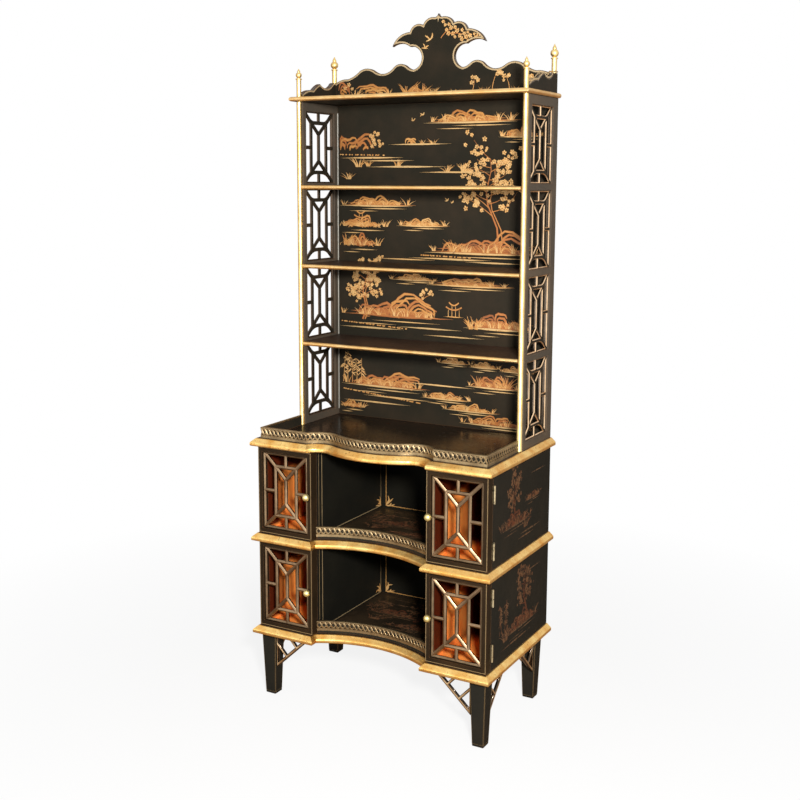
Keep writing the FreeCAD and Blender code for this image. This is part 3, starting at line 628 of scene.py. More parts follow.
for level, plan in PLANS.items():
    low, high = box(level + "_board")[:, 2]
    outline = plan(PROJECTION)
    if level == "middle":
        (x0, y0, _), (x1, _, _) = BACK_NOTCH
        outline = np.vstack([outline, [(x1, BACK), (x1, y0), (x0, y0), (x0, BACK)]])
    finish = polished_japanning if level == "top" else brown_japanning
    piece(f"lacquered_{level}_board", [board(outline, low, high, soften=1.2)], [finish],
          node=level + "_board")
    inside = PROJECTION + MOULDING_LAP
    nose = np.vstack([through(MOULDING_PROFILE, 4), [(inside, MOULDING_TOP), (inside, MOULDING_FOOT)]])
    nose = np.column_stack([nose[:, 0].clip(min=0), nose[:, 1] + low + TIP_ABOVE_UNDERSIDE])
    piece(f"gilt_{level}_moulding", [plan_sweep(plan, nose)], [gold_leaf], node=level + "_moulding",
          crease=40)

# %% [markdown]
# ### Sides, partitions and back
# Plain japanned panels close the two tiers. Each is a block whose edges are softened, so that they catch
# light. Their front edges are set back by 0.2 mm, so that the hinge leaves in them stand proud.

# %% Sides, partitions and the back of the base
PROUD = 0.2
for name in ("left", "right"):
    for tier in ("lower", "upper"):
        for kind in ("side", "partition"):
            low, high = box(f"{name}_{tier}_{kind}")
            low = low + (0, PROUD, 0)
            finish = lined_japanning if kind == "side" else niche_japanning
            piece(f"lacquered_{name}_{tier}_{kind}", [slab(low, high, 0.8)], [finish],
                  node=f"{name}_{tier}_{kind}")
piece("lacquered_base_back", [slab(*box("base_back"), 0.8)], [niche_japanning], node="base_back")

# %% [markdown]
# ### Galleries
# A pierced brass gallery stands against a black rim round the top and along each niche. Its pattern is a
# guilloche: two waves that weave between a beaded foot rail and a rounded top rail. Falling strands are
# broader and lie in front. A wave follows the rim by its length, so its loops keep one size round every bend.

# %% Rims and brass galleries
GALLERY_BAND = 2.0
RIM_WALL = 6.0
CAP_OVERHANG = 1.0
CAP_HEIGHT = 4.0
LOOP_LENGTH = 15.0
STRAND = (4.4, 1.5)
WEAVE = 0.5
LEAN = 0.3
STEP = 1.4


def walk(path, distance):
    """Points and left normals of a path at these distances along it."""
    step = np.linalg.norm(np.diff(path, axis=0), axis=1)
    at = np.concatenate([[0], np.cumsum(step)])
    normals = mitres(path, False)
    pick = [np.interp(distance, at, values) for values in (*path.T, *normals.T)]
    return np.stack(pick[:2], -1), np.stack(pick[2:], -1)


def strand(path, low, high, phase):
    """One wave of the guilloche: height is a sine of the distance, and depth and width follow its cosine."""
    length = np.linalg.norm(np.diff(path, axis=0), axis=1).sum()
    loops = 2 * round(length / (2 * LOOP_LENGTH))
    s = np.linspace(0, length, int(length / STEP))
    turn = np.pi * loops * s / length + phase
    flat, normal = walk(path, s)
    half = (high - low - STRAND[0]) / 2
    middle = (low + high) / 2 + half * np.sin(turn)
    slope = half * np.cos(turn) * np.pi * loops / length
    across = STRAND[0] / 2 * np.sqrt(1 + slope ** 2) * (1 - LEAN * np.cos(turn))
    depth = GALLERY_BAND / 2 + WEAVE * np.cos(turn)
    ring = np.array([(-1, 0.2), (-0.7, 1), (0.7, 1), (1, 0.2), (1, -1), (-1, -1)])
    up = middle[None] + ring[:, :1] * across[None]
    out = depth[None] - ring[:, 1:] * STRAND[1] / 2
    return strip(np.concatenate([flat[None] + normal[None] * out[..., None], up[..., None]], -1))


def gallery(name, plan, inset, foot, foot_rail, top, node_name):
    """Foot rail with a bead, two waves and a rounded top rail, all along the outer face of a rim."""
    rail_top = foot + foot_rail
    rail = [(0, foot), (0, rail_top - 2.2), (-0.8, rail_top - 1.6), (-0.8, rail_top - 0.5), (0, rail_top),
            (GALLERY_BAND, rail_top), (GALLERY_BAND, foot)]
    inner = GALLERY_BAND + RIM_WALL + CAP_OVERHANG
    cap_top = top + CAP_HEIGHT
    cap = [(0, top - 1.2), (-CAP_OVERHANG, top), (-CAP_OVERHANG, top + 2), (0.6, cap_top - 0.5),
           (2.5, cap_top), (inner - 2, cap_top), (inner, top + 2.5), (inner, top)]
    rails = [plan_sweep(plan, np.array(profile) + (inset, 0)) for profile in (rail, cap)]
    waves = [strand(plan(inset), rail_top - 0.6, top + 0.4, phase) for phase in (0, np.pi)]
    piece(name, rails + waves, [aged_brass], node=node_name)


def rim_wall(plan, inset, low, high):
    """Black wall that the gallery stands against."""
    near = inset + GALLERY_BAND
    return plan_sweep(plan, [(near, low), (near + RIM_WALL, low), (near + RIM_WALL, high), (near, high)])


TOP_GALLERY_INSET = 25.5
NICHE_GALLERY_INSET = 22.0
NICHE_HALF = 199.5
TOP_FOOT_RAIL = 9.5
NICHE_FOOT_RAIL = 8.5
RIM_END = box("top_rim")[1][1]


def top_rim_plan(inset):
    """The serpentine, ended where the columns stand."""
    path = serpentine(inset)
    path[[0, -1], 1] = RIM_END
    return path


def niche_rim_plan(inset):
    """The sweep of the niche, ended at the partitions."""
    return niche_arc(inset, NICHE_HALF)


low, high = box("top_rim")[:, 2]
gallery("pierced_brass_top_gallery", top_rim_plan, TOP_GALLERY_INSET, low, TOP_FOOT_RAIL, high, "top_gallery")
piece("lacquered_top_rim", [rim_wall(top_rim_plan, TOP_GALLERY_INSET, low, high)], [black_japanning],
      node="top_rim")

niche_walls = []
for tier, level in (("lower", "bottom"), ("upper", "middle")):
    floor_z = box(level + "_board")[1][2]
    foot, top = box(tier + "_niche_gallery")[:, 2]
    top = top - CAP_HEIGHT
    gallery(f"pierced_brass_{tier}_niche_gallery", niche_rim_plan, NICHE_GALLERY_INSET, foot, NICHE_FOOT_RAIL,
            top, tier + "_niche_gallery")
    niche_walls.append(rim_wall(niche_rim_plan, NICHE_GALLERY_INSET, floor_z, top))
piece("lacquered_niche_rims", niche_walls, [black_japanning], node="niche_rims")

# %% [markdown]
# ### Lattice and fret
# Doors, side frets and brackets share one idea: bars on a plan of cells. Each cell's corners lie on the
# middle lines of the bars, and its opening is the same polygon with every side moved inwards by half a bar.
# On doors and brackets the bars have a ridge, so each side of a cell becomes a facet from ridge to opening.

# %% Cells of a fret and ridged bars
def drawn_in(corners, moves):
    """Polygon whose sides are each moved inwards: neighbouring side lines are met again by Cramer's rule."""
    corners = np.asarray(corners, float)
    edge = np.roll(corners, -1, 0) - corners
    edge = edge / np.linalg.norm(edge, axis=1, keepdims=True)
    normal = np.stack([-edge[:, 1], edge[:, 0]], 1)
    reach = (normal * corners).sum(1) + np.asarray(moves, float)
    before, before_reach = np.roll(normal, 1, 0), np.roll(reach, 1)
    det = before[:, 0] * normal[:, 1] - before[:, 1] * normal[:, 0]
    u = (before_reach * normal[:, 1] - reach * before[:, 1]) / det
    v = (before[:, 0] * reach - normal[:, 0] * before_reach) / det
    return np.stack([u, v], 1)


def fret_cells(half_u, half_v, inner, apex):
    """Cells (corners, border sides): a rectangle in a rectangle, tied by diagonals to a middle bar."""
    iu, iv, av = inner[0] * half_u, inner[1] * half_v, apex * half_v
    cells = []
    for su in (1, -1):
        for sv in (1, -1):
            end = [(0, half_v), (half_u, half_v), (iu, iv), (0, iv)]
            flank = [(half_u, half_v), (half_u, 0), (iu, 0), (iu, iv)]
            cells += [(np.array(cell, float) * (su, sv), [True, False, False, False])
                      for cell in (end, flank)]
        cells.append((np.array([(iu, iv), (iu, -iv), (0, -av), (0, av)]) * (su, 1), [False] * 4))
        cells.append((np.array([(-iu, iv), (iu, iv), (0, av)]) * (1, su), [False] * 3))
    ready = []
    for corners, border in cells:
        if turning_way(corners, 1) is not corners:
            corners, border = corners[::-1], list(np.roll(border[::-1], -1))
        ready.append((corners, np.array(border)))
    return ready


def ridged_bars(cells, border, bar, levels, border_finish=None):
    """Moulded bars: levels are (share of the half bar, height, finish of the band that follows) in order.

    A side on the border carries a whole bar, as wide as the border times the cell's number for that side.
    """
    points, groups, first = [], [], 0
    for corners, on_border in cells:
        k = len(corners)
        i = np.arange(k)
        j = np.roll(i, -1)
        whole = border * np.asarray(on_border, float)
        inner = [np.where(whole > 0, whole * (0.5 + 0.5 * share), bar / 2 * share) for share, _, _ in levels]
        outer = [whole * (0.5 - 0.5 * share) for share, _, _ in levels]
        for moves, keep in ((inner, np.full(k, True)), (outer, whole > 0)):
            if not keep.any():
                continue
            points += [np.column_stack([drawn_in(corners, move), np.full(k, level[1])])
                       for move, level in zip(moves, levels)]
            for row, (_, _, finish) in enumerate(levels[:-1]):
                band = np.stack([i, j, j + k, i + k], 1) + first + row * k
                groups.append((band[keep & (whole == 0)], finish))
                groups.append((band[keep & (whole > 0)], finish if border_finish is None else border_finish))
            first += k * len(levels)
    return np.concatenate(points), groups


# %% [markdown]
# ### Doors
# Each door is a brown-black frame with a gilt line near its edge, an open lattice of ridged brown gilt bars
# in a border, a brass ball knob and two butt hinges. The hinges are plain, so they keep their CAD shape.
# Everything on a door rides on that door's own body, so it swings with it.

# %% Doors
LATTICE_INNER = (0.46, 0.64)
LATTICE_APEX = 0.32
LATTICE_BORDER = 9.0
LATTICE_BAR = 11.0
LATTICE_LEVELS = [(0.0, 0.0, 1), (1.0, 0.0, 1), (1.0, 5.2, 0), (0.06, 8.9, 0), (0.0, 9.0, 0)]
KNOB_PROFILE = [(0.4, 22.5), (4.4, 21.6), (7.9, 19.2), (10.2, 15.6), (11, 11.5), (10.2, 7.5), (8.0, 4.1),
                (5.6, 2.2), (5.0, 1.2), (5.0, 0)]
DOOR_LINE_IN = 2.4
DOOR_LINE_WIDTH = 2.2
LINE_LIFT = 0.35
LINE_SINK = 0.1


def gilt_line(path, axes, origin, width, closed=True, tone=0.6):
    """Raised painted line: a low flat-topped ridge carried along a path on a face."""
    path = turning_way(np.asarray(path, float), 1) if closed else np.asarray(path, float)
    half = width / 2
    profile = [(-half, -LINE_SINK), (-half * 0.5, LINE_LIFT), (half * 0.5, LINE_LIFT), (half, -LINE_SINK)]
    points = carried(path, profile, closed)
    return stand(points, axes, origin), [(quads(4, len(path), False, closed), 0)], tone


for name, side in SIDES.items():
    for tier in ("lower", "upper"):
        door = f"{name}_{tier}_door"
        (x0, y0, z0), (x1, y1, z1) = box(door + "_frame")
        (u0, _, v0), (u1, _, v1) = box(door + "_lattice")
        hole = rectangle(u0, u1, v0, v1)
        front = (0, y0, 0)
        wood = board(rectangle(x0, x1, z0, z1), y0 - y1 + PROUD, 0, FRONT, front, [hole])
        piece(f"lacquered_{door}_frame", [wood], [door_japanning], door, door + "_frame")
        c = DOOR_LINE_IN
        line = gilt_line(rectangle(x0 + c, x1 - c, z0 + c, z1 - c), FRONT, front, DOOR_LINE_WIDTH, tone=0.2)
        piece(f"gilt_line_of_{door}", [line], [line_gold], door, closed=False)
        half_u, half_v = (u1 - u0) / 2, (v1 - v0) / 2
        bars, faces = ridged_bars(fret_cells(half_u, half_v, LATTICE_INNER, LATTICE_APEX), LATTICE_BORDER,
                                  LATTICE_BAR, LATTICE_LEVELS, 2)
        bars = stand(bars, FRONT, ((u0 + u1) / 2, box(door + "_lattice")[1][1], (v0 + v1) / 2))
        bar_finishes = [lattice_gilding, bronzed_gilding, border_gilding]
        piece(f"ridged_{door}_lattice", [(bars, faces, 0.0)], bar_finishes, door, door + "_lattice",
              crease=20, closed=False)
        low, high = box(door + "_knob")
        middle = (low + high) / 2
        ball = turned(through(KNOB_PROFILE, 4), FRONT, (middle[0], y0, middle[2]))
        piece(f"brass_{door}_knob", [ball], [polished_brass], door, door + "_knob", crease=50)
        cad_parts[door + "_hinge_leaves"].data.materials[0] = hinge_brass
for hinge_part in ("carcass_hinge_leaves", "hinge_pins"):
    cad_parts[hinge_part].data.materials[0] = hinge_brass

# %% [markdown]
# ### Legs
# The legs taper from the board to the floor and have thin gilt lines down their edges. A leg is three rings
# of eight points, which gives it chamfered edges. Its lines lie on the slope of each face.

# %% Legs
LEG_TOP = 51.0
LEG_FOOT = 37.0
LEG_CHAMFER = 1.5
FOOT_LINE = 8.0
LEG_LINE_IN = 1.3
LEG_LINE_WIDTH = 0.9
LINE_BELOW_TOP = 4
leg_height = box("left_front_leg")[1][2]
leg_lines = []
for name in SIDES:
    for end in ("front", "rear"):
        leg = f"{name}_{end}_leg"
        low, high = box(leg)
        middle = (low + high) / 2
        heights = np.array([0, 1.2, leg_height])
        half = (LEG_FOOT + (LEG_TOP - LEG_FOOT) * heights / leg_height) / 2 - (0.8, 0, 0)
        c = LEG_CHAMFER
        corner = np.array([(-1, -1), (1, -1), (1, 1), (-1, 1)], float)
        nudge = np.array([[(0, c), (c, 0)], [(-c, 0), (0, c)], [(0, -c), (-c, 0)], [(c, 0), (0, -c)]], float)
        ring = (corner[None, :, None] * half[:, None, None, None] + nudge[None]).reshape(3, 8, 2)
        points = np.concatenate([ring, np.broadcast_to(heights[:, None, None], (3, 8, 1))], -1)
        ends = np.arange(8)[None]
        shape = (points.reshape(-1, 3) + (middle[0], middle[1], 0),
                 [(quads(3, 8, False, True), 0), (ends[:, ::-1], 0), (ends + 16, 0)], 0.0)
        piece("lacquered_" + leg, [shape], [lined_japanning], node=leg)
        lean = math.atan((LEG_TOP - LEG_FOOT) / 2 / leg_height)
        span = leg_height / math.cos(lean)
        up_top, up_foot = LEG_TOP / 2 - LEG_LINE_IN, LEG_FOOT / 2 - LEG_LINE_IN
        line_top = span - LINE_BELOW_TOP
        loop = [(-up_foot, FOOT_LINE), (up_foot, FOOT_LINE), (up_top, line_top), (-up_top, line_top)]
        for quarter in range(4):
            a = quarter * math.pi / 2
            out = np.array([math.sin(a), -math.cos(a), 0])
            along = np.array([math.cos(a), math.sin(a), 0])
            slope = out * math.sin(lean) + np.array([0, 0, math.cos(lean)])
            axes = np.array([along, slope, np.cross(along, slope)])
            origin = np.array([middle[0], middle[1], 0]) + out * LEG_FOOT / 2
            leg_lines.append(gilt_line(loop, axes, origin, LEG_LINE_WIDTH, tone=0.05))
piece("gilt_lines_of_legs", leg_lines, [line_gold], closed=False)

# %% [markdown]
# ### Fret brackets
# Under the bottom board a pierced bracket fills the corner on two sides of each leg: a slanting bar and two
# struts, with three openings. It is made like the lattice, with ridged bars back to back. Its flanks are
# bronzed and its ridges toned gilt.

# %% Fret brackets
BRACKET_REACH = 122.5
BRACKET_DROP = 114.5
BRACKET_BAR = 9.0
BRACKET_BORDER = 4.0
BRACKET_OUT = 13.5
SLANT = 2.7
BRACKET_LEVELS = [(1.0, 0.0, 0), (1.0, 3.2, 0), (0.5, 5.2, 1), (0.0, 6.0, 1)]
STRUT_NEAR, STRUT_FAR = 0.34, 0.66


def bracket_cells():
    """Three cells in (along the board, down the leg): a slanting bar and a strut from it to each edge."""
    reach, drop = BRACKET_REACH, BRACKET_DROP
    near = np.array([reach * (1 - STRUT_NEAR), drop * STRUT_NEAR])
    far = np.array([reach * (1 - STRUT_FAR), drop * STRUT_FAR])
    head = (near[0] - near[1] * drop / reach, 0)
    foot = (0, far[1] - far[0] * reach / drop)
    cells = [([(reach, 0), near, head], [SLANT, 0, 1]), ([(0, drop), foot, far], [1, 0, SLANT]),
             ([(0, 0), head, near, far, foot], [1, 0, SLANT, 0, 1])]
    return [(np.array(corners, float), np.array(border, float)) for corners, border in cells]


outline_cells = bracket_cells()
brackets = []
under_board = box("bottom_board")[0][2]
for name, side in SIDES.items():
    for end, inward in (("front", 1), ("rear", -1)):
        low, high = box(f"{name}_{end}_leg")
        middle = (low + high) / 2
        for along, outward in (((-side, 0, 0), (0, -inward, 0)), ((0, inward, 0), (side, 0, 0))):
            along, outward = np.array(along, float), np.array(outward, float)
            down = np.array([0.0, 0, -1])
            leg_head = np.array([middle[0], middle[1], under_board])
            origin = leg_head + along * LEG_TOP / 2 + outward * BRACKET_OUT
            for out in (1, -1):
                axes = np.array([along, down, np.cross(along, down) * out])
                bars, faces = ridged_bars(outline_cells, BRACKET_BORDER, BRACKET_BAR, BRACKET_LEVELS)
                brackets.append((stand(bars, axes, origin), faces, 0.0))
piece("fret_leg_brackets", brackets, [bronzed_gilding, bracket_gilding], node="leg_brackets",
      crease=60)

# %% [markdown]
# ## The shelf stage
# Two side frames hold four pierced panels each. The faces of the frets are black and their cut edges bronzed.
# On the outside a pale gilt bevel round each opening draws the pattern in thin lines. The end openings have
# one rounded corner, so a bay seems arched.

# %% Side frames and frets
FRET_BORDER = 4.0
FRET_BAR = 12.0
FRET_BEVEL = 2.4
FRET_INNER = (0.53, 0.70)
FRET_APEX = 0.38
FRET_ARCH = {True: 13.0, False: 24.0}
FRET_FRONT = 46.0
FRET_REAR = 214.0
RAIL_BELOW_SHELF = 7.0
RAIL_ABOVE_SHELF = 14.0
FRAME_BOTTOM_RAIL = 25.0
FRAME_TOP_RAIL = 28.0
SHELVES = ("lower_shelf", "middle_shelf", "upper_shelf")


def rounded(corners, number, reach, count=9):
    """Polygon with one corner rounded by a quadratic curve between points at a distance from it."""
    before, at, after = corners[number - 1], corners[number], corners[(number + 1) % len(corners)]
    a = at + (before - at) / np.linalg.norm(before - at) * reach
    b = at + (after - at) / np.linalg.norm(after - at) * reach
    t = np.linspace(0, 1, count)[:, None]
    curve = (1 - t) ** 2 * a + 2 * t * (1 - t) * at + t ** 2 * b
    return np.vstack([corners[:number], curve, corners[number + 1:]])


stage_low, stage_high = box("left_side_frame")[:, 2]
shelf_z = [box(shelf)[:, 2].mean() for shelf in SHELVES]
bay_lows = [stage_low + FRAME_BOTTOM_RAIL] + [z + RAIL_ABOVE_SHELF for z in shelf_z]
bay_highs = [z - RAIL_BELOW_SHELF for z in shelf_z] + [stage_high - FRAME_TOP_RAIL]
bays = list(zip(bay_lows, bay_highs))

for name, side in SIDES.items():
    low, high = box(f"{name}_side_frame")
    face = SIDE_FACES[name]
    way = face[0][1]
    plane = np.array([high[0] if side > 0 else low[0], 0, 0])
    span = sorted((low[1] * way, high[1] * way))
    gaps = [rectangle(*sorted((FRET_FRONT * way, FRET_REAR * way)), z0, z1) for z0, z1 in bays]
    wood = board(rectangle(*span, stage_low, stage_high), low[0] - high[0], 0, face, plane, gaps)
    piece(f"lacquered_{name}_side_frame", [wood], [rubbed_japanning], node=f"{name}_side_frame")
    fret_low, fret_high = box(f"{name}_side_frets")[:, 0]
    fret_plane = np.array([fret_high if side > 0 else fret_low, 0, 0])
    frets = []
    for z0, z1 in bays:
        half_u, half_v = (FRET_REAR - FRET_FRONT) / 2, (z1 - z0) / 2
        centre = np.array([way * (FRET_FRONT + FRET_REAR) / 2, (z0 + z1) / 2])
        holes = []
        for corners, on_border in fret_cells(half_u, half_v, FRET_INNER, FRET_APEX):
            opening = drawn_in(corners, np.where(on_border, FRET_BORDER, FRET_BAR / 2))
            ends = on_border.any() and abs(corners[:, 0]).min() < 1
            if ends:
                inner_corner = (FRET_INNER[0] * half_u, FRET_INNER[1] * half_v)
                inner = np.argmin(np.abs(np.abs(corners) - inner_corner).sum(1))
                opening = rounded(opening, inner, FRET_ARCH[bool(corners[:, 1].mean() > 0)])
            holes.append(opening + centre)
        panel = rectangle(centre[0] - half_u, centre[0] + half_u, z0, z1)
        frets.append(board(panel, fret_low - fret_high, 0, face, fret_plane, holes, 0.6, 1, FRET_BEVEL, 2))
    piece(f"pierced_{name}_side_frets", frets, [black_japanning, bronzed_gilding, pale_gilding],
          node=f"{name}_side_frets")

# %% [markdown]
# ### Shelves and cornice
# The back board is one sheet behind the shelves. Each shelf ends in a gilt half-round nosing, and the cornice
# has the same half-round on its front and sides. Thin gilt beads fill the corners beside the back board.

# %% Back board, shelves and nosings
piece("lacquered_back_board", [slab(*box("back_board"), 0.8)], [black_japanning], node="back_board")
NOSING_STEPS = 13
half_turn = np.radians(np.linspace(-90, 90, NOSING_STEPS))


def nosing(radius, z):
    """Half-round profile that stands out from its path: offset is minus the cosine, height the sine."""
    return np.stack([-radius * np.cos(half_turn), z + radius * np.sin(half_turn)], -1)


rails = []
for shelf in SHELVES:
    low, high = box(shelf)
    piece("lacquered_" + shelf, [slab(low, high, 0.6)], [waxed_japanning], node=shelf)
    edge_line = np.array([(low[0], low[1]), (high[0], low[1])])
    rails.append(sweep(edge_line, nosing((high[2] - low[2]) / 2, (low[2] + high[2]) / 2)))
piece("gilt_shelf_nosings", rails, [toned_gold], node="shelf_nosings", crease=50)

low, high = box("cornice_board")
piece("lacquered_cornice_board", [slab(low, high, 0.6)], [black_japanning], node="cornice_board")
cornice_path = np.array([(low[0], high[1]), (low[0], low[1]), (high[0], low[1]), (high[0], high[1])])
half_round = sweep(cornice_path, nosing((high[2] - low[2]) / 2, (low[2] + high[2]) / 2))
piece("gilt_cornice_nosing", [half_round], [toned_gold], node="cornice_nosing", crease=50)

BEAD = 3.0
BEAD_SINK = 0.2
BEAD_BELOW = 6
BEAD_ABOVE = 3
frame_inside = abs(box("left_side_frame")[1][0])
quarter_turn = np.radians(np.linspace(0, 90, 6))
beads = []
for side in SIDES.values():
    corner = np.array([side * frame_inside, box("back_board")[0][1]])
    arch = corner + BEAD * np.stack([-side * np.cos(quarter_turn), -np.sin(quarter_turn)], -1)
    plan_points = np.vstack([arch, corner + (side * BEAD_SINK, BEAD_SINK)])
    for z0, z1 in bays:
        ends = (z0 - BEAD_BELOW, z1 + BEAD_ABOVE)
        rings = np.stack([np.column_stack([plan_points, np.full(len(plan_points), z)]) for z in ends], 1)
        beads.append(strip(rings))
piece("corner_beads", [(points, groups, 1.0) for points, groups, _ in beads], [line_gold],
      crease=50)

# %% [markdown]
# ### Columns and finials
# A turner makes these on a lathe, so each is a profile spun about an axis. Two columns run from the base up
# to the cornice. A finial is a post, a collar, a ball and a tip: the front pair stands on the cornice, above
# the columns, and the rear pair at the height of the wings.

# %% Columns and finials
COLUMN_RADIUS = 8.0
COLUMN_FOOT = [(8.8, 0), (9.2, 0.6), (9.2, 2.2), (COLUMN_RADIUS, 3.4)]


def bud(radius, post, ball, tip):
    """Finial: a post, a collar, a ball as an arc of radius and height, and a tapering tip."""
    angle = np.radians(np.linspace(-68, 62, 14))
    centre = post + 5 + ball
    sphere = np.stack([ball * np.cos(angle), centre + ball * np.sin(angle)], -1)
    foot = [(radius, 0), (radius, post), (radius * 1.28, post + 0.8), (radius * 1.35, post + 2.4),
            (radius * 1.28, post + 4), (radius * 0.9, post + 5)]
    neck = through([(ball * 0.46, centre + ball * 1.0), (ball * 0.5, centre + ball * 1.2),
                    (ball * 0.34, centre + ball * 1.55), (0.6, tip)], 4)
    return np.vstack([foot, sphere, neck])


for name, side in SIDES.items():
    low, high = box(f"{name}_column")
    middle = (low + high) / 2
    shaft = COLUMN_FOOT + [(COLUMN_RADIUS, high[2] - low[2])]
    piece(f"gilt_{name}_column", [turned(shaft, origin=(middle[0], middle[1], low[2]))], [burnished_gold],
          node=f"{name}_column", crease=50)

FINIALS = [((7.5, 54, 9.5), -1, "cornice_board"), ((8.0, 41, 12.5), 1, "left_wing")]
FINIAL_TIPS = {-1: 2005.0, 1: 2062.0}
REAR_FINIAL_Y = 232.0
buds = []
for (radius, post, ball), row, under in FINIALS:
    z = box(under)[1][2]
    y = box("left_column")[:, 1].mean() if row < 0 else REAR_FINIAL_Y
    for side in SIDES.values():
        x = side * abs(box("left_column")[:, 0].mean())
        buds.append(turned(bud(radius, post, ball, FINIAL_TIPS[row] - z), origin=(x, y, z)))
piece("gilt_finials", buds, [burnished_gold], node="finials", crease=50)

# %% [markdown]
# ### Cresting and wings
# The cresting is a sawn board: scrolls and lobes that fall from a point in the middle to the sides. Its half
# outline is a chain of arcs, each through one point to the next. The wings on the sides are lower boards of
# the same kind. A gilt line follows each edge.

# %% Cresting and wings
CREST_TOP = (0, 2176)
CREST_ARCS = [((5, 2168), (13, 2165)), ((40, 2160.5), (54, 2144)), ((82, 2146), (102, 2124.5)),
              ((142, 2112), (165.5, 2082)), ((133, 2090.5), (101, 2079)), ((58, 2043), (87, 2007)),
              ((101, 2011), (113, 2019)), ((137, 2027), (160, 2018)), ((203, 1998.5), (232, 2008)),
              ((264, 2018), (290, 2010)), ((312, 1995), (335, 1986.5)), ((362, 1984), (383, 1974))]
WING_START = (222, 1926)
WING_ARCS = [((192, 1940), (158, 1943)), ((136, 1958), (117, 1966)), ((74, 1955), (44, 1970)),
             ((37, 1975), (30, 1976))]
EDGE_LINE_IN = 4.2
CREST_LINE_WIDTH = 5.4
WING_LINE_WIDTH = 5.0
CREST_MARGIN = (4, 3)


def chain(start, arcs):
    """Start point and the arcs that follow each other from it."""
    line = [np.array([start], float)]
    for by, end in arcs:
        line.append(arc_through(line[-1][-1], by, end))
    return np.vstack(line)


low, high = box("cresting")
right_half = chain(CREST_TOP, CREST_ARCS)
crest_edge = np.vstack([right_half[::-1], right_half[1:] * (-1, 1)])
crest_outline = np.vstack([crest_edge, [(low[0], low[2]), (high[0], low[2])]])
crest_front = (0, low[1], 0)
wood = board(crest_outline, low[1] - high[1], 0, FRONT, crest_front, soften=1.2, edge=1)
piece("sawn_cresting", [wood], [black_japanning, bronzed_gilding], node="cresting")


def inside_line(edge_path, inset):
    """Line at a distance inside an edge: the offset points, less those that come nearer to any part of it."""
    moved = edge_path + inset * mitres(edge_path, False)
    nearest = np.linalg.norm(moved[:, None] - edge_path[None], axis=2).min(1)
    return moved[nearest > 0.96 * inset]


inner_edge = inside_line(crest_edge, EDGE_LINE_IN)
margin_u, margin_v = CREST_MARGIN
crest_foot = [(low[0] + margin_u, low[2] + margin_v), (high[0] - margin_u, low[2] + margin_v)]
crest_area = np.vstack([inner_edge, crest_foot])
crest_lines = [gilt_line(inner_edge, FRONT, crest_front, CREST_LINE_WIDTH, False)]

for name, side in SIDES.items():
    low, high = box(f"{name}_wing")
    face = SIDE_FACES[name]
    way = face[0][1]
    edge_path = chain(WING_START, WING_ARCS)
    edge_path = np.vstack([edge_path, [(BACK - high[1], edge_path[-1, 1])]])
    edge_path = np.column_stack([way * (BACK - edge_path[:, 0]), edge_path[:, 1]])
    outline = np.vstack([edge_path, [(way * high[1], low[2]), (way * low[1], low[2])]])
    plane = np.array([high[0] if side > 0 else low[0], 0, 0])
    wood = board(outline, low[0] - high[0], 0, face, plane, soften=1.2, edge=1)
    piece(f"sawn_{name}_wing", [wood], [black_japanning, bronzed_gilding], node=f"{name}_wing")
    line = inside_line(edge_path, EDGE_LINE_IN)
    crest_lines.append(gilt_line(line, face, plane, WING_LINE_WIDTH, False))
    other = SIDE_FACES["left" if name == "right" else "right"]
    inner_plane = (low[0] if side > 0 else high[0], 0, 0)
    crest_lines.append(gilt_line(line[::-1] * (-1, 1), other, inner_plane, WING_LINE_WIDTH, False))

# %% [markdown]
# ## Painted decoration
# The panels carry gold powder landscapes in the old manner: islands as long streaks, rocks as nested arcs,
# grass, blossoming trees and birds. A japanner built them from single raised brush strokes, and so does the
# lesson. A stroke is a middle line of nine points with a width at each. All strokes of a picture are worked
# out as arrays: lines (strokes, 9, 2), widths (strokes, 9) and one tone per stroke. A fixed seed keeps the
# pictures the same.

# %% Brush strokes
STROKE_POINTS = 9
ALONG = np.linspace(0, 1, STROKE_POINTS)
FULL = np.sin(np.pi * ALONG) ** 0.7
POINTED = np.sin(np.pi * ALONG) ** 1.6
THINNEST = 0.4
STROKE_HEIGHT = 0.5
BROAD = 6.0
EDGE_TONE = 0.5
EDGE_DROP = 0.15
STROKE_SINK = 0.1
rng = np.random.default_rng(1780)


def join(*motifs):
    """One motif from several: their lines, widths and tones one after another."""
    return tuple(np.concatenate(part) for part in zip(*motifs))


def around(value, spread, count):
    """Random numbers evenly spread about a value."""
    return value + spread * rng.uniform(-1, 1, count)


def streaks(rows, tone=0.9):
    """Lens-shaped level strokes from rows of (middle u, v, length, thickness), each a little bowed."""
    u, v, length, thick = np.array(rows, float).T[:, :, None]
    lines = np.stack([u + length * (ALONG - 0.5), v + 0.05 * thick * np.sin(2 * np.pi * ALONG)], -1)
    return lines, thick * POINTED + THINNEST, around(tone, 0.1, len(rows))


def tuft(u, v, height, blades=11, spread=0.7, tone=0.6):
    """Grass: blades rise from a short base, and lean outwards as the power 1.8 of their height."""
    foot = rng.uniform(-1, 1, (blades, 1))
    tall = height * rng.uniform(0.5, 1, (blades, 1))
    lean = height * spread * (foot + rng.normal(0, 0.3, (blades, 1)))
    lines = np.stack([u + height * 0.35 * foot + lean * ALONG ** 1.8, v + tall * ALONG], -1)
    widths = height * 0.13 * (1 - ALONG) ** 0.8 + THINNEST
    return lines, np.broadcast_to(widths, (blades, STROKE_POINTS)), around(tone, 0.18, blades)


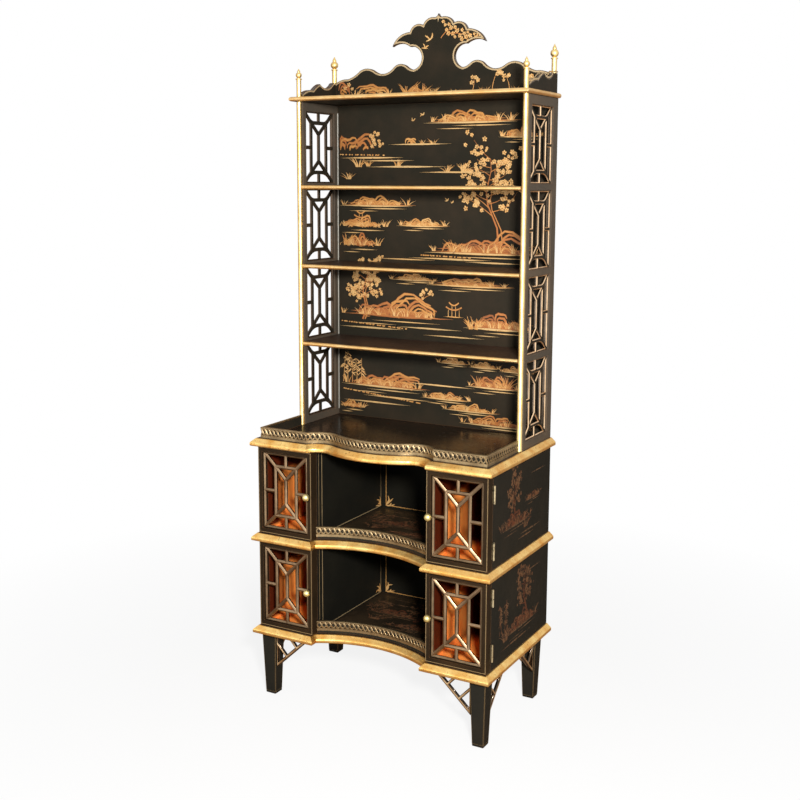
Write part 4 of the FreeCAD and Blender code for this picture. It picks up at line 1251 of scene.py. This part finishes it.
def mound(u, v, width, height, tone, rings, lean=0.0):
    """Rock or hill: nested broken arcs, made uneven by sines of the angle with random phases."""
    share = np.linspace(1, 0.25, rings)[:, None]
    angle = np.pi - rng.uniform(0, 0.5, (rings, 1)) - ALONG * (np.pi - rng.uniform(0.2, 1.0, (rings, 1)))
    phase = rng.uniform(0, 2 * np.pi, 3)
    swell = 1 + 0.16 * np.sin(2 * angle + phase[0]) + 0.1 * np.sin(5 * angle + phase[1])
    shift = rng.normal(0, 0.05, (rings, 1)) * width
    lines = np.stack([u + shift + lean * width * (1 - share) + share * swell * width / 2 * np.cos(angle),
                      v + share * swell * height * np.sin(angle).clip(0) ** 0.8], -1)
    gap = 0.75 / (rings - 1) * (height * np.sin(angle) + width / 2 * np.abs(np.cos(angle)))
    body = 0.35 + 0.75 * np.sin(np.pi * ALONG ** rng.uniform(0.6, 1.6, (rings, 1))).clip(0)
    return lines, 0.8 * gap * body + THINNEST, around(tone, 0.2, rings)


def hatching(u, v, width, height, tone, count=9):
    """Slanting strokes down the flank of a hill, shorter towards its ends."""
    place = np.linspace(-0.5, 0.5, count)
    top = height * (1 - (2 * place) ** 2) + THINNEST
    starts = np.stack([u + width * place, v + top], -1)
    ends = starts + np.stack([around(0.12 * width, 0.05 * width, count), -0.7 * top], -1)
    lines, _, tones = stems(starts, ends, 1, 0.2, tone)
    return lines, np.broadcast_to(0.09 * height * FULL + THINNEST, lines.shape[:2]), tones


def blossoms(centres, size, tone=0.68):
    """Five petals round each centre, each a short stroke that is widest past its middle."""
    centres = np.asarray(centres, float)
    count = len(centres)
    turn = rng.uniform(0, 2 * np.pi, (count, 1)) + np.arange(5) * 2 * np.pi / 5
    way = np.stack([np.cos(turn), np.sin(turn)], -1)
    size = size * rng.uniform(0.7, 1.25, (count, 1, 1, 1))
    reach = size * rng.uniform(0.38, 0.55, (count, 5, 1, 1))
    lines = centres[:, None, None] + way[:, :, None] * reach * (0.1 + 0.9 * ALONG)[:, None]
    widths = 0.42 * size[:, :, 0] * np.sin(np.pi * ALONG ** 1.3).clip(0) + THINNEST
    widths = np.broadcast_to(widths, (count, 5, STROKE_POINTS)).reshape(-1, STROKE_POINTS)
    return lines.reshape(-1, STROKE_POINTS, 2), widths, around(tone, 0.14, count * 5)


def stems(starts, ends, thick, bend=0.15, tone=0.2):
    """Twigs between points: straight lines bent sideways by a share of their length, tapering to the tip."""
    starts, ends = np.asarray(starts, float), np.asarray(ends, float)
    run = ends - starts
    side = np.stack([-run[:, 1], run[:, 0]], -1)
    bow = around(0, bend, (len(run), 1, 1)) * np.sin(np.pi * ALONG)[:, None]
    lines = starts[:, None] + run[:, None] * ALONG[:, None] + side[:, None] * bow
    widths = thick * (1 - 0.75 * ALONG) + THINNEST
    return lines, np.broadcast_to(widths, (len(run), STROKE_POINTS)), around(tone, 0.1, len(run))


# %% [markdown]
# ### Trees, birds and islands
# Larger motifs are made of the small ones: a tree is stems with blossoms along them, and an island is
# streaks, hills and grass.

# %% Larger motifs
def tree(u, v, height, lean, spread, branches, bloom):
    """Blossoming tree: a winding trunk, branches to alternate sides, and blossoms along the branches."""
    sway = u + lean * height * ALONG + 0.05 * height * np.sin(2.6 * np.pi * ALONG)
    trunk = np.stack([sway, v + height * ALONG], -1)
    second = trunk * (1, 0.9) + (0.05 * height, 0.1 * v)
    taper = np.stack([9, 5])[:, None] * (1 - 0.7 * ALONG) + THINNEST
    wood = (np.stack([trunk, second]), taper, np.array([0.1, 0.25]))
    share = np.linspace(0.38, 1, branches)
    start = np.stack([np.interp(share, ALONG, trunk[:, i]) for i in (0, 1)], -1)
    side = np.where(np.arange(branches) % 2, 1.0, -1.0)
    reach = height * spread * rng.uniform(0.55, 1.0, branches) * (1.25 - 0.6 * share)
    end = start + np.stack([side * reach, height * rng.uniform(0.02, 0.22, branches)], -1)
    spots = [start + (end - start) * part for part in (0.4, 0.6, 0.8, 1.0)] * 3
    centres = np.vstack(spots)
    centres = centres + rng.normal(0, 0.055 * height, centres.shape)
    return join(wood, stems(start, end, 3.0), blossoms(centres, bloom))


def bamboo(u, v, height, count, tone=0.55):
    """Stalks side by side, with long leaves that hang from them."""
    foot = u + 0.16 * height * (np.arange(count) - count / 2)
    starts = np.stack([foot, np.full(count, v)], -1)
    ends = starts + np.stack([rng.normal(0, 0.08 * height, count), height * rng.uniform(0.75, 1, count)], -1)
    share = rng.uniform(0.35, 1, (count, 12, 1))
    knots = (starts[:, None] + (ends - starts)[:, None] * share).reshape(-1, 2)
    side = np.where(rng.random(len(knots)) < 0.5, -1.0, 1.0)
    tips = knots + np.stack([side * rng.uniform(9, 20, len(knots)), -rng.uniform(4, 16, len(knots))], -1)
    lines, _, tones = stems(knots, tips, 1, 0.1, 0.7)
    leaves = (lines, np.broadcast_to(3.6 * FULL + THINNEST, lines.shape[:2]), tones)
    return join(stems(starts, ends, 2.6, 0.05, tone), leaves)


def bird(u, v, size, turn):
    """A body and two wings as lens strokes, turned about the middle."""
    ends = size * np.array([[(-0.5, 0.0), (0.5, 0.1)], [(0.0, 0.0), (-0.35, 0.6)], [(0.1, 0.0), (0.55, 0.5)]])
    spin = np.array([[math.cos(turn), math.sin(turn)], [-math.sin(turn), math.cos(turn)]])
    ends = ends @ spin + (u, v)
    lines, _, tones = stems(ends[:, 0], ends[:, 1], 1, 0.2, 0.75)
    return lines, np.broadcast_to(0.2 * size * FULL + THINNEST, (3, STROKE_POINTS)), tones


def pavilion(u, v, size):
    """Garden house: two upturned roofs on posts, over a streak of ground."""
    curve = np.stack([ALONG - 0.5, 0.22 * (2 * ALONG - 1) ** 2], -1)
    lower_roof = curve * (1.3, 1) * size + (u, v + 0.52 * size)
    upper_roof = curve * (0.8, 1) * size + (u, v + 0.86 * size)
    roofs = np.stack([lower_roof, upper_roof])
    roof = (roofs, np.full((2, STROKE_POINTS), 0.13 * size), np.array([0.3, 0.4]))
    foot = np.stack([u + size * np.array([-0.45, -0.15, 0.15, 0.45]), np.full(4, v)], -1)
    posts = stems(foot, foot + (0, 0.52 * size), 0.06 * size, 0, 0.6)
    upper = stems(foot[1:3] + (0, 0.6 * size), foot[1:3] + (0, 0.84 * size), 0.06 * size, 0, 0.6)
    return join(roof, posts, upper, streaks([(u, v, 1.7 * size, 0.1 * size)], 0.5))


def pebbles(start, end, count, size, tone=0.5):
    """Short round dabs along a shore line."""
    share = np.linspace(0, 1, count)[:, None] + rng.normal(0, 0.3 / count, (count, 1))
    place = np.array(start) + (np.array(end) - np.array(start)) * share
    half = np.stack([size * rng.uniform(0.3, 0.6, count), rng.normal(0, 0.08 * size, count)], -1)
    lines, _, tones = stems(place - half, place + half, 1, 0, tone)
    return lines, np.broadcast_to(0.6 * size * FULL + THINNEST, lines.shape[:2]), tones


def island(u, v, length, rise, tone=0.35, grass=6):
    """Streaks for the shore and its reflection, a broad wash, hatched hills and grass between them."""
    shore = streaks([(u, v, length, 0.16 * rise + 3),
                     (u + 0.12 * length, v - 0.2 * rise - 3, 0.62 * length, 4),
                     (u - 0.16 * length, v - 0.34 * rise - 7, 0.4 * length, 3)], 0.85)
    wash = streaks([(u, v + 0.3 * rise, 0.78 * length, 0.85 * rise),
                    (u + 0.05 * length, v + 0.1 * rise, length, 0.4 * rise)], tone - 0.1)
    hills = [mound(u + length * place, v, length * wide, rise * tall, tone, 4, 0.1)
             for place, wide, tall in ((-0.24, 0.2, 0.6), (-0.09, 0.26, 0.9), (0.07, 0.22, 1.0),
                                       (0.24, 0.2, 0.5))]
    slopes = [hatching(u + length * place, v, length * 0.3, rise * 0.6, tone + 0.2)
              for place in (-0.1, 0.16)]
    green = [tuft(u + length * place, v + 0.1 * rise, (0.45 * rise + 7) * rng.uniform(0.7, 1.3), 9, tone=0.62)
             for place in np.linspace(-0.42, 0.44, grass) + rng.normal(0, 0.03, grass)]
    return join(wash, shore, *hills, *slopes, *green)


# %% [markdown]
# ### From strokes to a mesh
# A raised stroke becomes a low ridge: its middle line is lifted, and its two edges lie just under the
# surface. A stroke that leaves the panel is dropped, so that no paint hangs in the air.

# %% Strokes as ridges
def within(points, outline):
    """Even-odd rule: a point is inside if a level ray from it crosses the outline an odd number of times."""
    a, b = outline, np.roll(outline, -1, 0)
    u, v = points[..., None, 0], points[..., None, 1]
    spans = (a[:, 1] > v) != (b[:, 1] > v)
    rise = np.where(b[:, 1] == a[:, 1], 1.0, b[:, 1] - a[:, 1])
    crossing = a[:, 0] + (v - a[:, 1]) / rise * (b[:, 0] - a[:, 0])
    return (spans & (u < crossing)).sum(-1) % 2 == 1


def paint(name, motif, axes, origin, finish, area):
    """Low ridges from strokes: three points across, with the edges just under the surface, kept to an area.

    Broad washes lie flatter than fine lines, and the edges of a stroke take a lower tone than its middle.
    """
    lines, widths, tones = motif
    keep = within(lines, area).all(1)
    lines, widths, tones = lines[keep], widths[keep], tones[keep]
    run = np.gradient(lines, axis=1)
    run = run / np.linalg.norm(run, axis=2, keepdims=True).clip(min=1e-6)
    side = np.stack([-run[..., 1], run[..., 0]], -1)
    across = np.array([-0.5, 0.0, 0.5])
    flat = lines[:, :, None] + side[:, :, None] * (widths[:, :, None] * across)[..., None]
    height = STROKE_HEIGHT * (BROAD / widths.max(1)).clip(0.3, 1)[:, None, None]
    lift = np.broadcast_to(np.where(across == 0, height, -STROKE_SINK), flat.shape[:3])[..., None]
    tones = tones[:, None, None]
    shade = np.broadcast_to(np.where(across == 0, tones, EDGE_TONE * tones - EDGE_DROP), flat.shape[:3])
    points = stand(np.concatenate([flat, lift], -1), axes, origin)
    one = quads(STROKE_POINTS, len(across))[:, ::-1]
    step = STROKE_POINTS * len(across)
    faces = (one[None] + step * np.arange(len(lines))[:, None, None]).reshape(-1, 4)
    piece(name, [(points, [(faces, 0)], shade.ravel())], [finish], closed=False,
          crease=80)


# %% [markdown]
# ### Landscapes of the back board and the cresting
# Each bay has its own water scene with far islands above and a near bank below. They share one board, so a
# tall tree can grow past a shelf. The cresting has a spray of blossom, two birds and a bank of grass.

# %% Landscapes
back_low, back_high = box("back_board")
scenes = [
    island(110, 1838, 330, 34), island(285, 1790, 150, 26),
    mound(-330, 1752, 120, 78, 0.3, 5, 0.1), mound(-270, 1752, 90, 46, 0.35, 4),
    mound(-362, 1752, 60, 100, 0.25, 5),
    blossoms(np.column_stack([around(-232, 26, 14), around(1792, 26, 14)]), 13),
    pebbles((-378, 1742), (-210, 1738), 16, 9),
    streaks([(-250, 1730, 240, 7), (-190, 1720, 200, 5), (-70, 1772, 230, 6), (-120, 1700, 300, 7),
             (60, 1682, 260, 6)]),
    tuft(-300, 1700, 34, 14), tuft(-262, 1702, 22), tuft(-60, 1772, 16), tuft(-20, 1772, 20),
    tuft(-150, 1702, 26),
    mound(-100, 1772, 44, 20, 0.45, 3), tuft(30, 1684, 24), tuft(90, 1684, 30, 13), tuft(-340, 1660, 24, 13),
    streaks([(-290, 1656, 190, 7)]), bird(-60, 1862, 17, 0.3), bird(-95, 1849, 13, -0.2),
    tree(205, 1436, 285, -0.12, 0.42, 15, 15),
    island(150, 1424, 400, 46, 0.12, 8), mound(250, 1424, 150, 62, 0.1, 6, -0.1),
    tuft(60, 1428, 40, 14, tone=0.35),
    streaks([(40, 1404, 300, 7), (-120, 1398, 220, 5), (200, 1396, 200, 6)], 0.8),
    pebbles((-60, 1414), (120, 1410), 20, 9),
    island(-235, 1572, 280, 30), island(-290, 1500, 210, 34, 0.4), pavilion(-292, 1512, 40),
    island(-60, 1508, 190, 22, 0.5), island(-300, 1436, 170, 36, 0.2), tuft(-350, 1440, 40, 14, tone=0.4),
    bird(30, 1592, 14, 0.1), bird(52, 1585, 11, 0.5),
    tree(-285, 1190, 178, 0.1, 0.4, 11, 14), island(-170, 1202, 420, 52, 0.15, 9),
    mound(-80, 1204, 190, 66, 0.2, 6, 0.15), pebbles((-375, 1180), (-120, 1166), 28, 9),
    streaks([(-250, 1162, 250, 7), (-30, 1172, 240, 6), (60, 1150, 220, 5)], 0.9),
    island(110, 1318, 300, 28), island(-90, 1330, 180, 18, 0.5),
    blossoms(np.column_stack([around(-40, 22, 12), around(1288, 16, 12)]), 13),
    stems([(-75, 1262), (-60, 1262)], [(-45, 1290), (-25, 1284)], 4), pavilion(60, 1216, 44),
    island(215, 1184, 240, 48, 0.12, 7), tuft(130, 1180, 44, 15, tone=0.4), tuft(300, 1182, 40, 14, tone=0.4),
    bamboo(-318, 968, 112, 5), island(-205, 962, 330, 42, 0.25, 8), pebbles((-360, 944), (-60, 918), 34, 9),
    streaks([(-150, 928, 260, 7), (-230, 906, 260, 6), (10, 985, 260, 6)], 0.9),
    mound(-120, 962, 130, 54, 0.2, 5, 0.1),
    island(60, 1062, 120, 18, 0.5, 4), island(170, 1056, 110, 20, 0.45, 4),
    island(285, 1050, 120, 18, 0.5, 4),
    island(205, 992, 200, 34, 0.15), tuft(250, 996, 44, 16, tone=0.3), tuft(150, 996, 36, 14, tone=0.3),
    island(30, 940, 180, 24, 0.4), island(120, 908, 200, 22, 0.4), island(-330, 880, 110, 24, 0.3),
    island(215, 868, 260, 30, 0.1, 8),
]
BACK_MARGIN = (6, 5)
margin_u, margin_v = BACK_MARGIN
back_area = rectangle(back_low[0] + margin_u, back_high[0] - margin_u, back_low[2] + margin_v,
                      back_high[2] - margin_v)
paint("painted_landscapes", join(*scenes), FRONT, (0, back_low[1], 0), gold_powder, back_area)

spray = np.array([(18, 2150), (38, 2140), (60, 2130), (84, 2120), (104, 2112), (126, 2106), (52, 2112),
                  (76, 2104), (30, 2124), (98, 2098), (140, 2102), (112, 2102)], float)
crest_scene = [
    stems([(10, 2100), (30, 2110), (58, 2112)], [(60, 2128), (104, 2104), (138, 2092)], 3.5),
    blossoms(np.vstack([spray, spray + (7, -11)]), 15), bird(-30, 2098, 30, 0.4), bird(-48, 2070, 24, -0.2),
    streaks([(-30, 2012, 120, 4)]), tuft(-60, 1926, 40, 16, tone=0.4), tuft(-110, 1925, 46, 18, tone=0.45),
    mound(-85, 1924, 70, 24, 0.1, 4), tuft(-20, 1924, 30, 13), streaks([(-70, 1922, 190, 5)], 0.4),
    mound(-250, 1934, 90, 34, 0.4, 4, 0.1), mound(-205, 1934, 60, 20, 0.5, 3),
    streaks([(-235, 1932, 150, 5)]), tuft(-180, 1932, 20),
    tuft(-310, 1922, 34, 14), mound(-350, 1930, 50, 40, 0.2, 4),
    blossoms([(-330, 1968), (-345, 1958), (-318, 1955)], 13),
    stems([(190, 1922), (250, 1922), (300, 1922), (120, 1922)],
          [(205, 1985), (236, 1975), (318, 1972), (128, 1968)], 3, 0.1, 0.4),
    blossoms(np.column_stack([around(210, 14, 7), around(1984, 8, 7)]), 15),
    blossoms(np.column_stack([around(236, 12, 6), around(1968, 10, 6)]), 14),
    blossoms(np.column_stack([around(318, 16, 7), around(1966, 8, 7)]), 14),
    blossoms(np.column_stack([around(130, 12, 5), around(1966, 10, 5)]), 14),
    tuft(160, 1922, 26), tuft(270, 1922, 24), tuft(345, 1922, 22), tuft(60, 1922, 22),
]
paint("painted_cresting", join(*crest_scene), FRONT, crest_front, gold_powder, crest_area)
piece("gilt_lines_of_cresting", crest_lines, [line_gold], closed=False)

# %% [markdown]
# ### Rubbed side pictures
# The outer sides had pictures too, and years of polishing have worn them to a brown shadow. They are painted
# with the same strokes, in the rubbed finish. The left side has the right side's plan, mirrored.

# %% Side pictures
PICTURE_MARGIN = 8
for name, side in SIDES.items():
    face = SIDE_FACES[name]
    way = face[0][1]
    upper_scene = [tree(-40, 640, 140, 0.1, 0.4, 9, 12), island(-20, 636, 230, 40, 0.2),
                   tuft(60, 610, 40, 14), streaks([(90, 596, 170, 6), (60, 584, 120, 5), (150, 770, 120, 4)]),
                   island(110, 690, 120, 20)]
    lower_scene = [tree(70, 300, 170, -0.1, 0.4, 11, 12), island(40, 300, 260, 44, 0.2),
                   tuft(-80, 290, 44, 15), streaks([(0, 268, 220, 6), (120, 462, 130, 4)]),
                   bamboo(-90, 320, 110, 4)]
    for tier, scene in (("upper", upper_scene), ("lower", lower_scene)):
        low, high = box(f"{name}_{tier}_side")
        plane = (high[0] if side > 0 else low[0], 0, 0)
        lines, widths, tones = join(*scene)
        span = np.sort(way * np.array([low[1], high[1]])) + (PICTURE_MARGIN, -PICTURE_MARGIN)
        area = rectangle(*span, low[2] + PICTURE_MARGIN, high[2] - PICTURE_MARGIN)
        picture = (lines * (way, 1), widths, tones)
        paint(f"rubbed_{name}_{tier}_picture", picture, face, plane, rubbed_powder, area)

# %% [markdown]
# ### Lining of the niches
# Thin gilt borders line the walls of the niches, with small sprays in lower corners, and the floors have
# rubbed pictures. The lines of the back walls take the brighter gold of the pictures, so they are a piece of
# their own.

# %% Niche lining and floors
LINING_IN = 13
LINING_UP = 8
LINING_WIDTH = 3.4
LINING_FROM_FRONT = 30
STRIPE_FROM_FRONT = 12
STRIPE_UP = 4
STRIPE_WIDTH = 2.0
SPRAY_SIZE = 40
FLOOR_PICTURE_FRONT = -120


def corner_spray(u, v, size, way):
    """Five leaves that fan out of a corner: bent strokes at set angles, the middle one the longest."""
    angle = np.radians([12, 45, 78, 28, 62])
    reach = size * np.array([0.9, 1.0, 0.9, 0.6, 0.6])
    tips = np.stack([u + way * reach * np.cos(angle), v + reach * np.sin(angle)], -1)
    lines, _, tones = stems(np.tile((u, v), (5, 1)), tips, 1, 0.25, 0.7)
    return lines, np.broadcast_to(0.16 * size * FULL + THINNEST, (5, STROKE_POINTS)), tones


INNER_WALL = abs(box("left_upper_partition")[1][0])
NICHE_REAR = box("base_back")[0][1]
NICHE_FRONT = box("left_upper_partition")[0][1]
side_lining, back_lining = [], []
for tier, floor_level, roof_level in (("lower", "bottom", "middle"), ("upper", "middle", "top")):
    z0, z1 = box(floor_level + "_board")[1][2], box(roof_level + "_board")[0][2]
    line_low, line_high = z0 + LINING_UP, z1 - LINING_UP
    rear = (0, NICHE_REAR, 0)
    border = rectangle(LINING_IN - INNER_WALL, INNER_WALL - LINING_IN, line_low, line_high)
    back_lining.append(gilt_line(border, FRONT, rear, LINING_WIDTH, tone=0.4))
    sprays = [corner_spray(way * (LINING_IN - INNER_WALL), line_low, SPRAY_SIZE, way) for way in (1, -1)]
    paint(f"gilt_{tier}_niche_back_sprays", join(*sprays), FRONT, rear, gold_powder,
          rectangle(-INNER_WALL, INNER_WALL, z0, z1))
    for name, face in (("left", RIGHT_FACE), ("right", LEFT_FACE)):
        way = face[0][1]
        plane = (SIDES[name] * INNER_WALL, 0, 0)
        ends = sorted((way * (NICHE_FRONT + LINING_FROM_FRONT), way * (NICHE_REAR - LINING_IN)))
        side_border = rectangle(*ends, line_low, line_high)
        side_lining.append(gilt_line(side_border, face, plane, LINING_WIDTH, tone=0.4))
        stripe = way * (NICHE_FRONT + STRIPE_FROM_FRONT)
        stripe_path = [(stripe, z0 + STRIPE_UP), (stripe, z1 - STRIPE_UP)]
        side_lining.append(gilt_line(stripe_path, face, plane, STRIPE_WIDTH, False, 0.2))
        leaves = corner_spray(way * (NICHE_REAR - LINING_IN), line_low, SPRAY_SIZE, -way)
        paint(f"gilt_{tier}_niche_{name}_spray", leaves, face, plane, gold_powder,
              rectangle(*sorted((way * NICHE_FRONT, way * NICHE_REAR)), z0, z1))
    floor_scene = [island(-60, 60, 200, 46, 0.3), island(60, -20, 240, 40, 0.4), tuft(-110, 0, 50, 15),
                   tuft(120, 60, 60, 18), tree(20, 40, 150, 0.1, 0.45, 9, 14),
                   streaks([(0, 190, 260, 7), (-60, 150, 200, 6), (60, -70, 220, 8)]),
                   bamboo(-130, 60, 110, 4)]
    floor_area = rectangle(PICTURE_MARGIN - INNER_WALL, INNER_WALL - PICTURE_MARGIN, FLOOR_PICTURE_FRONT,
                           NICHE_REAR - PICTURE_MARGIN)
    paint(f"rubbed_{tier}_niche_floor", join(*floor_scene), PLAN, (0, 0, z0), rubbed_powder, floor_area)
piece("gilt_lining_of_niche_sides", side_lining, [line_gold], closed=False)
piece("gilt_lining_of_niche_backs", back_lining, [gold_powder], closed=False)

# %% [markdown]
# ## Light and floor
# A small lamp above and a little to the right of the camera gives the light its direction. A weak fill comes
# from the left, and a low reflector from the front left. The world adds a weak, even light. To polished
# surfaces alone it is a room that is bright to the front, the right and above, and a dim brown elsewhere.
# The world is white to the camera. So is the floor, but for a faint shadow near the cabinet.

# %% World and lamps
world = bpy.data.worlds.new("pale_studio")
bpy.context.scene.world = world
world.use_nodes = True
world.node_tree.nodes.clear()
rays = node(world, "LightPath").outputs
seen = node(world, "Math", {0: rays["Is Camera Ray"], 1: rays["Is Transmission Ray"]}, operation="MAXIMUM")
AMBIENT = 0.17
WHITE = (1, 1, 1, 1)
DIM_ROOM = "#a28165"
BRIGHT_SIDE = (0.62, -0.52, 0.58)
DIM_BELOW, BRIGHT_ABOVE = -0.24, -0.1
direction = node(world, "TexCoord").outputs["Generated"]
facing = node(world, "VectorMath", {0: direction, 1: BRIGHT_SIDE}, operation="DOT_PRODUCT")
lit = node(world, "MapRange", {"Value": facing.outputs["Value"], "From Min": DIM_BELOW,
                               "From Max": BRIGHT_ABOVE})
room = node(world, "Mix", {0: lit.outputs[0], MIX_A: colour(DIM_ROOM), MIX_B: WHITE}, data_type="RGBA")
hue = node(world, "Mix", {0: rays["Is Glossy Ray"], MIX_A: WHITE, MIX_B: room.outputs[MIX_RESULT]},
           data_type="RGBA")
shown = node(world, "Math", {0: seen.outputs[0], 1: rays["Is Glossy Ray"]}, operation="MAXIMUM")
strength = node(world, "MapRange", {"Value": shown.outputs[0], "To Min": AMBIENT})
sky = node(world, "Background", {"Color": hue.outputs[MIX_RESULT], "Strength": strength.outputs[0]})
node(world, "OutputWorld", {"Surface": sky.outputs[0]})


def soft_box(name, place, target, size, watts):
    """Rectangular area lamp that points at a target."""
    lamp = bpy.data.lights.new(name, "AREA")
    lamp.shape = "RECTANGLE"
    lamp.size, lamp.size_y = size
    lamp.energy = watts
    made = bpy.data.objects.new(name, lamp)
    made.location = place
    made.rotation_euler = (Vector(target) - Vector(place)).to_track_quat("-Z", "Y").to_euler()
    bpy.context.scene.collection.objects.link(made)


soft_box("key", (2.0, -2.9, 2.0), (0, 0, 0.9), (0.35, 0.35), 220)
soft_box("fill", (-2.8, -2.6, 1.8), (0, 0, 0.9), (1.5, 1.5), 6)
soft_box("reflector", (-1.1, -2.9, 0.7), (0.2, -0.2, 0.7), (1.0, 0.8), 12)
print("world:", world.name, "lamps:", [lamp.name for lamp in bpy.data.lights])

# %% Floor
FLOOR_RADIUS = 9000.0
FLOOR_RINGS = 12
FLOOR_SPOKES = 48
reach = np.linspace(0.001, 1, FLOOR_RINGS)[:, None] * FLOOR_RADIUS
angle = np.linspace(0, 2 * np.pi, FLOOR_SPOKES, endpoint=False)
ground = np.zeros((FLOOR_RINGS, FLOOR_SPOKES))
flat = np.stack([reach * np.cos(angle), reach * np.sin(angle), ground], -1) * MM
rings = quads(FLOOR_RINGS, FLOOR_SPOKES, False, True)[:, ::-1].tolist()
floor_mesh = bpy.data.meshes.new("studio_floor")
floor_mesh.from_pydata(flat.reshape(-1, 3).tolist(), [], rings + [list(range(FLOOR_SPOKES))])
floor = bpy.data.objects.new("studio_floor", floor_mesh)
bpy.context.scene.collection.objects.link(floor)
# Paper: a plain white ground with a soft, faint shadow. In polish it shows white only to the front right.
paper = bpy.data.materials.new("white_paper_floor")
paper.use_nodes = True
paper.node_tree.nodes.clear()
kind = node(paper, "LightPath")
spot = node(paper, "TexCoord").outputs["Object"]
away = node(paper, "VectorMath", {0: spot}, operation="LENGTH")
far = node(paper, "MapRange", {"Value": away.outputs["Value"], "From Min": 0.8, "From Max": 2.2,
                               "To Min": 0.86})
ahead_of = node(paper, "VectorMath", {0: spot, 1: (0.75, -0.66, 0)}, operation="DOT_PRODUCT")
front_lit = node(paper, "MapRange", {"Value": ahead_of.outputs["Value"], "From Min": 0.45, "From Max": 1.15})
sheen = node(paper, "Mix", {0: front_lit.outputs[0], MIX_A: colour(DIM_ROOM), MIX_B: WHITE}, data_type="RGBA")
tint = node(paper, "Mix", {0: kind.outputs["Is Glossy Ray"], MIX_A: WHITE, MIX_B: sheen.outputs[MIX_RESULT]},
            data_type="RGBA")
backdrop = node(paper, "Math", {0: far.outputs[0], 1: kind.outputs["Is Camera Ray"]}, operation="MULTIPLY")
share = node(paper, "Math", {0: backdrop.outputs[0], 1: kind.outputs["Is Glossy Ray"]}, operation="MAXIMUM")
matt = node(paper, "BsdfDiffuse", {"Color": colour("#eeece8")})
glow = node(paper, "Emission", {"Color": tint.outputs[MIX_RESULT], "Strength": 1.0})
blend = node(paper, "MixShader", {0: share.outputs[0], 1: matt.outputs[0], 2: glow.outputs[0]})
node(paper, "OutputMaterial", {"Surface": blend.outputs[0]})
floor_mesh.materials.append(paper)
print("floor:", paper.name, len(floor_mesh.polygons), "faces")

# %% [markdown]
# ## Camera
# The camera's place, angles and focal length were fitted to corners of the cabinet in the photograph. It is
# turned about the upright, tipped down and rolled a little. A lens shift moves the picture without a tilt.

# %% Camera at the photograph's angle
CAMERA_PLACE = (1.7045, -3.0887, 1.6443)
CAMERA_TURN = 0.5064
CAMERA_DOWN = 0.1527
CAMERA_ROLL = 0.0033
FOCAL_LENGTH = 51.468
SENSOR_WIDTH = 36.0
SHIFT_Y = -0.05
ahead = np.array([-math.sin(CAMERA_TURN), math.cos(CAMERA_TURN), 0])
right = np.array([math.cos(CAMERA_TURN), math.sin(CAMERA_TURN), 0])
upright = np.array([0, 0, 1.0])
look = ahead * math.cos(CAMERA_DOWN) - upright * math.sin(CAMERA_DOWN)
up = ahead * math.sin(CAMERA_DOWN) + upright * math.cos(CAMERA_DOWN)
rolled_right = right * math.cos(CAMERA_ROLL) + up * math.sin(CAMERA_ROLL)
rolled_up = up * math.cos(CAMERA_ROLL) - right * math.sin(CAMERA_ROLL)
lens = bpy.data.cameras.new("camera")
lens.lens = FOCAL_LENGTH
lens.sensor_width = SENSOR_WIDTH
lens.shift_y = SHIFT_Y
camera = bpy.data.objects.new("camera", lens)
camera.matrix_world = Matrix(np.column_stack([rolled_right, rolled_up, -look]).tolist()).to_4x4()
camera.location = CAMERA_PLACE
bpy.context.scene.collection.objects.link(camera)
bpy.context.scene.camera = camera
bpy.context.scene.view_settings.view_transform = "Standard"
print("camera:", CAMERA_PLACE, "focal length", FOCAL_LENGTH)
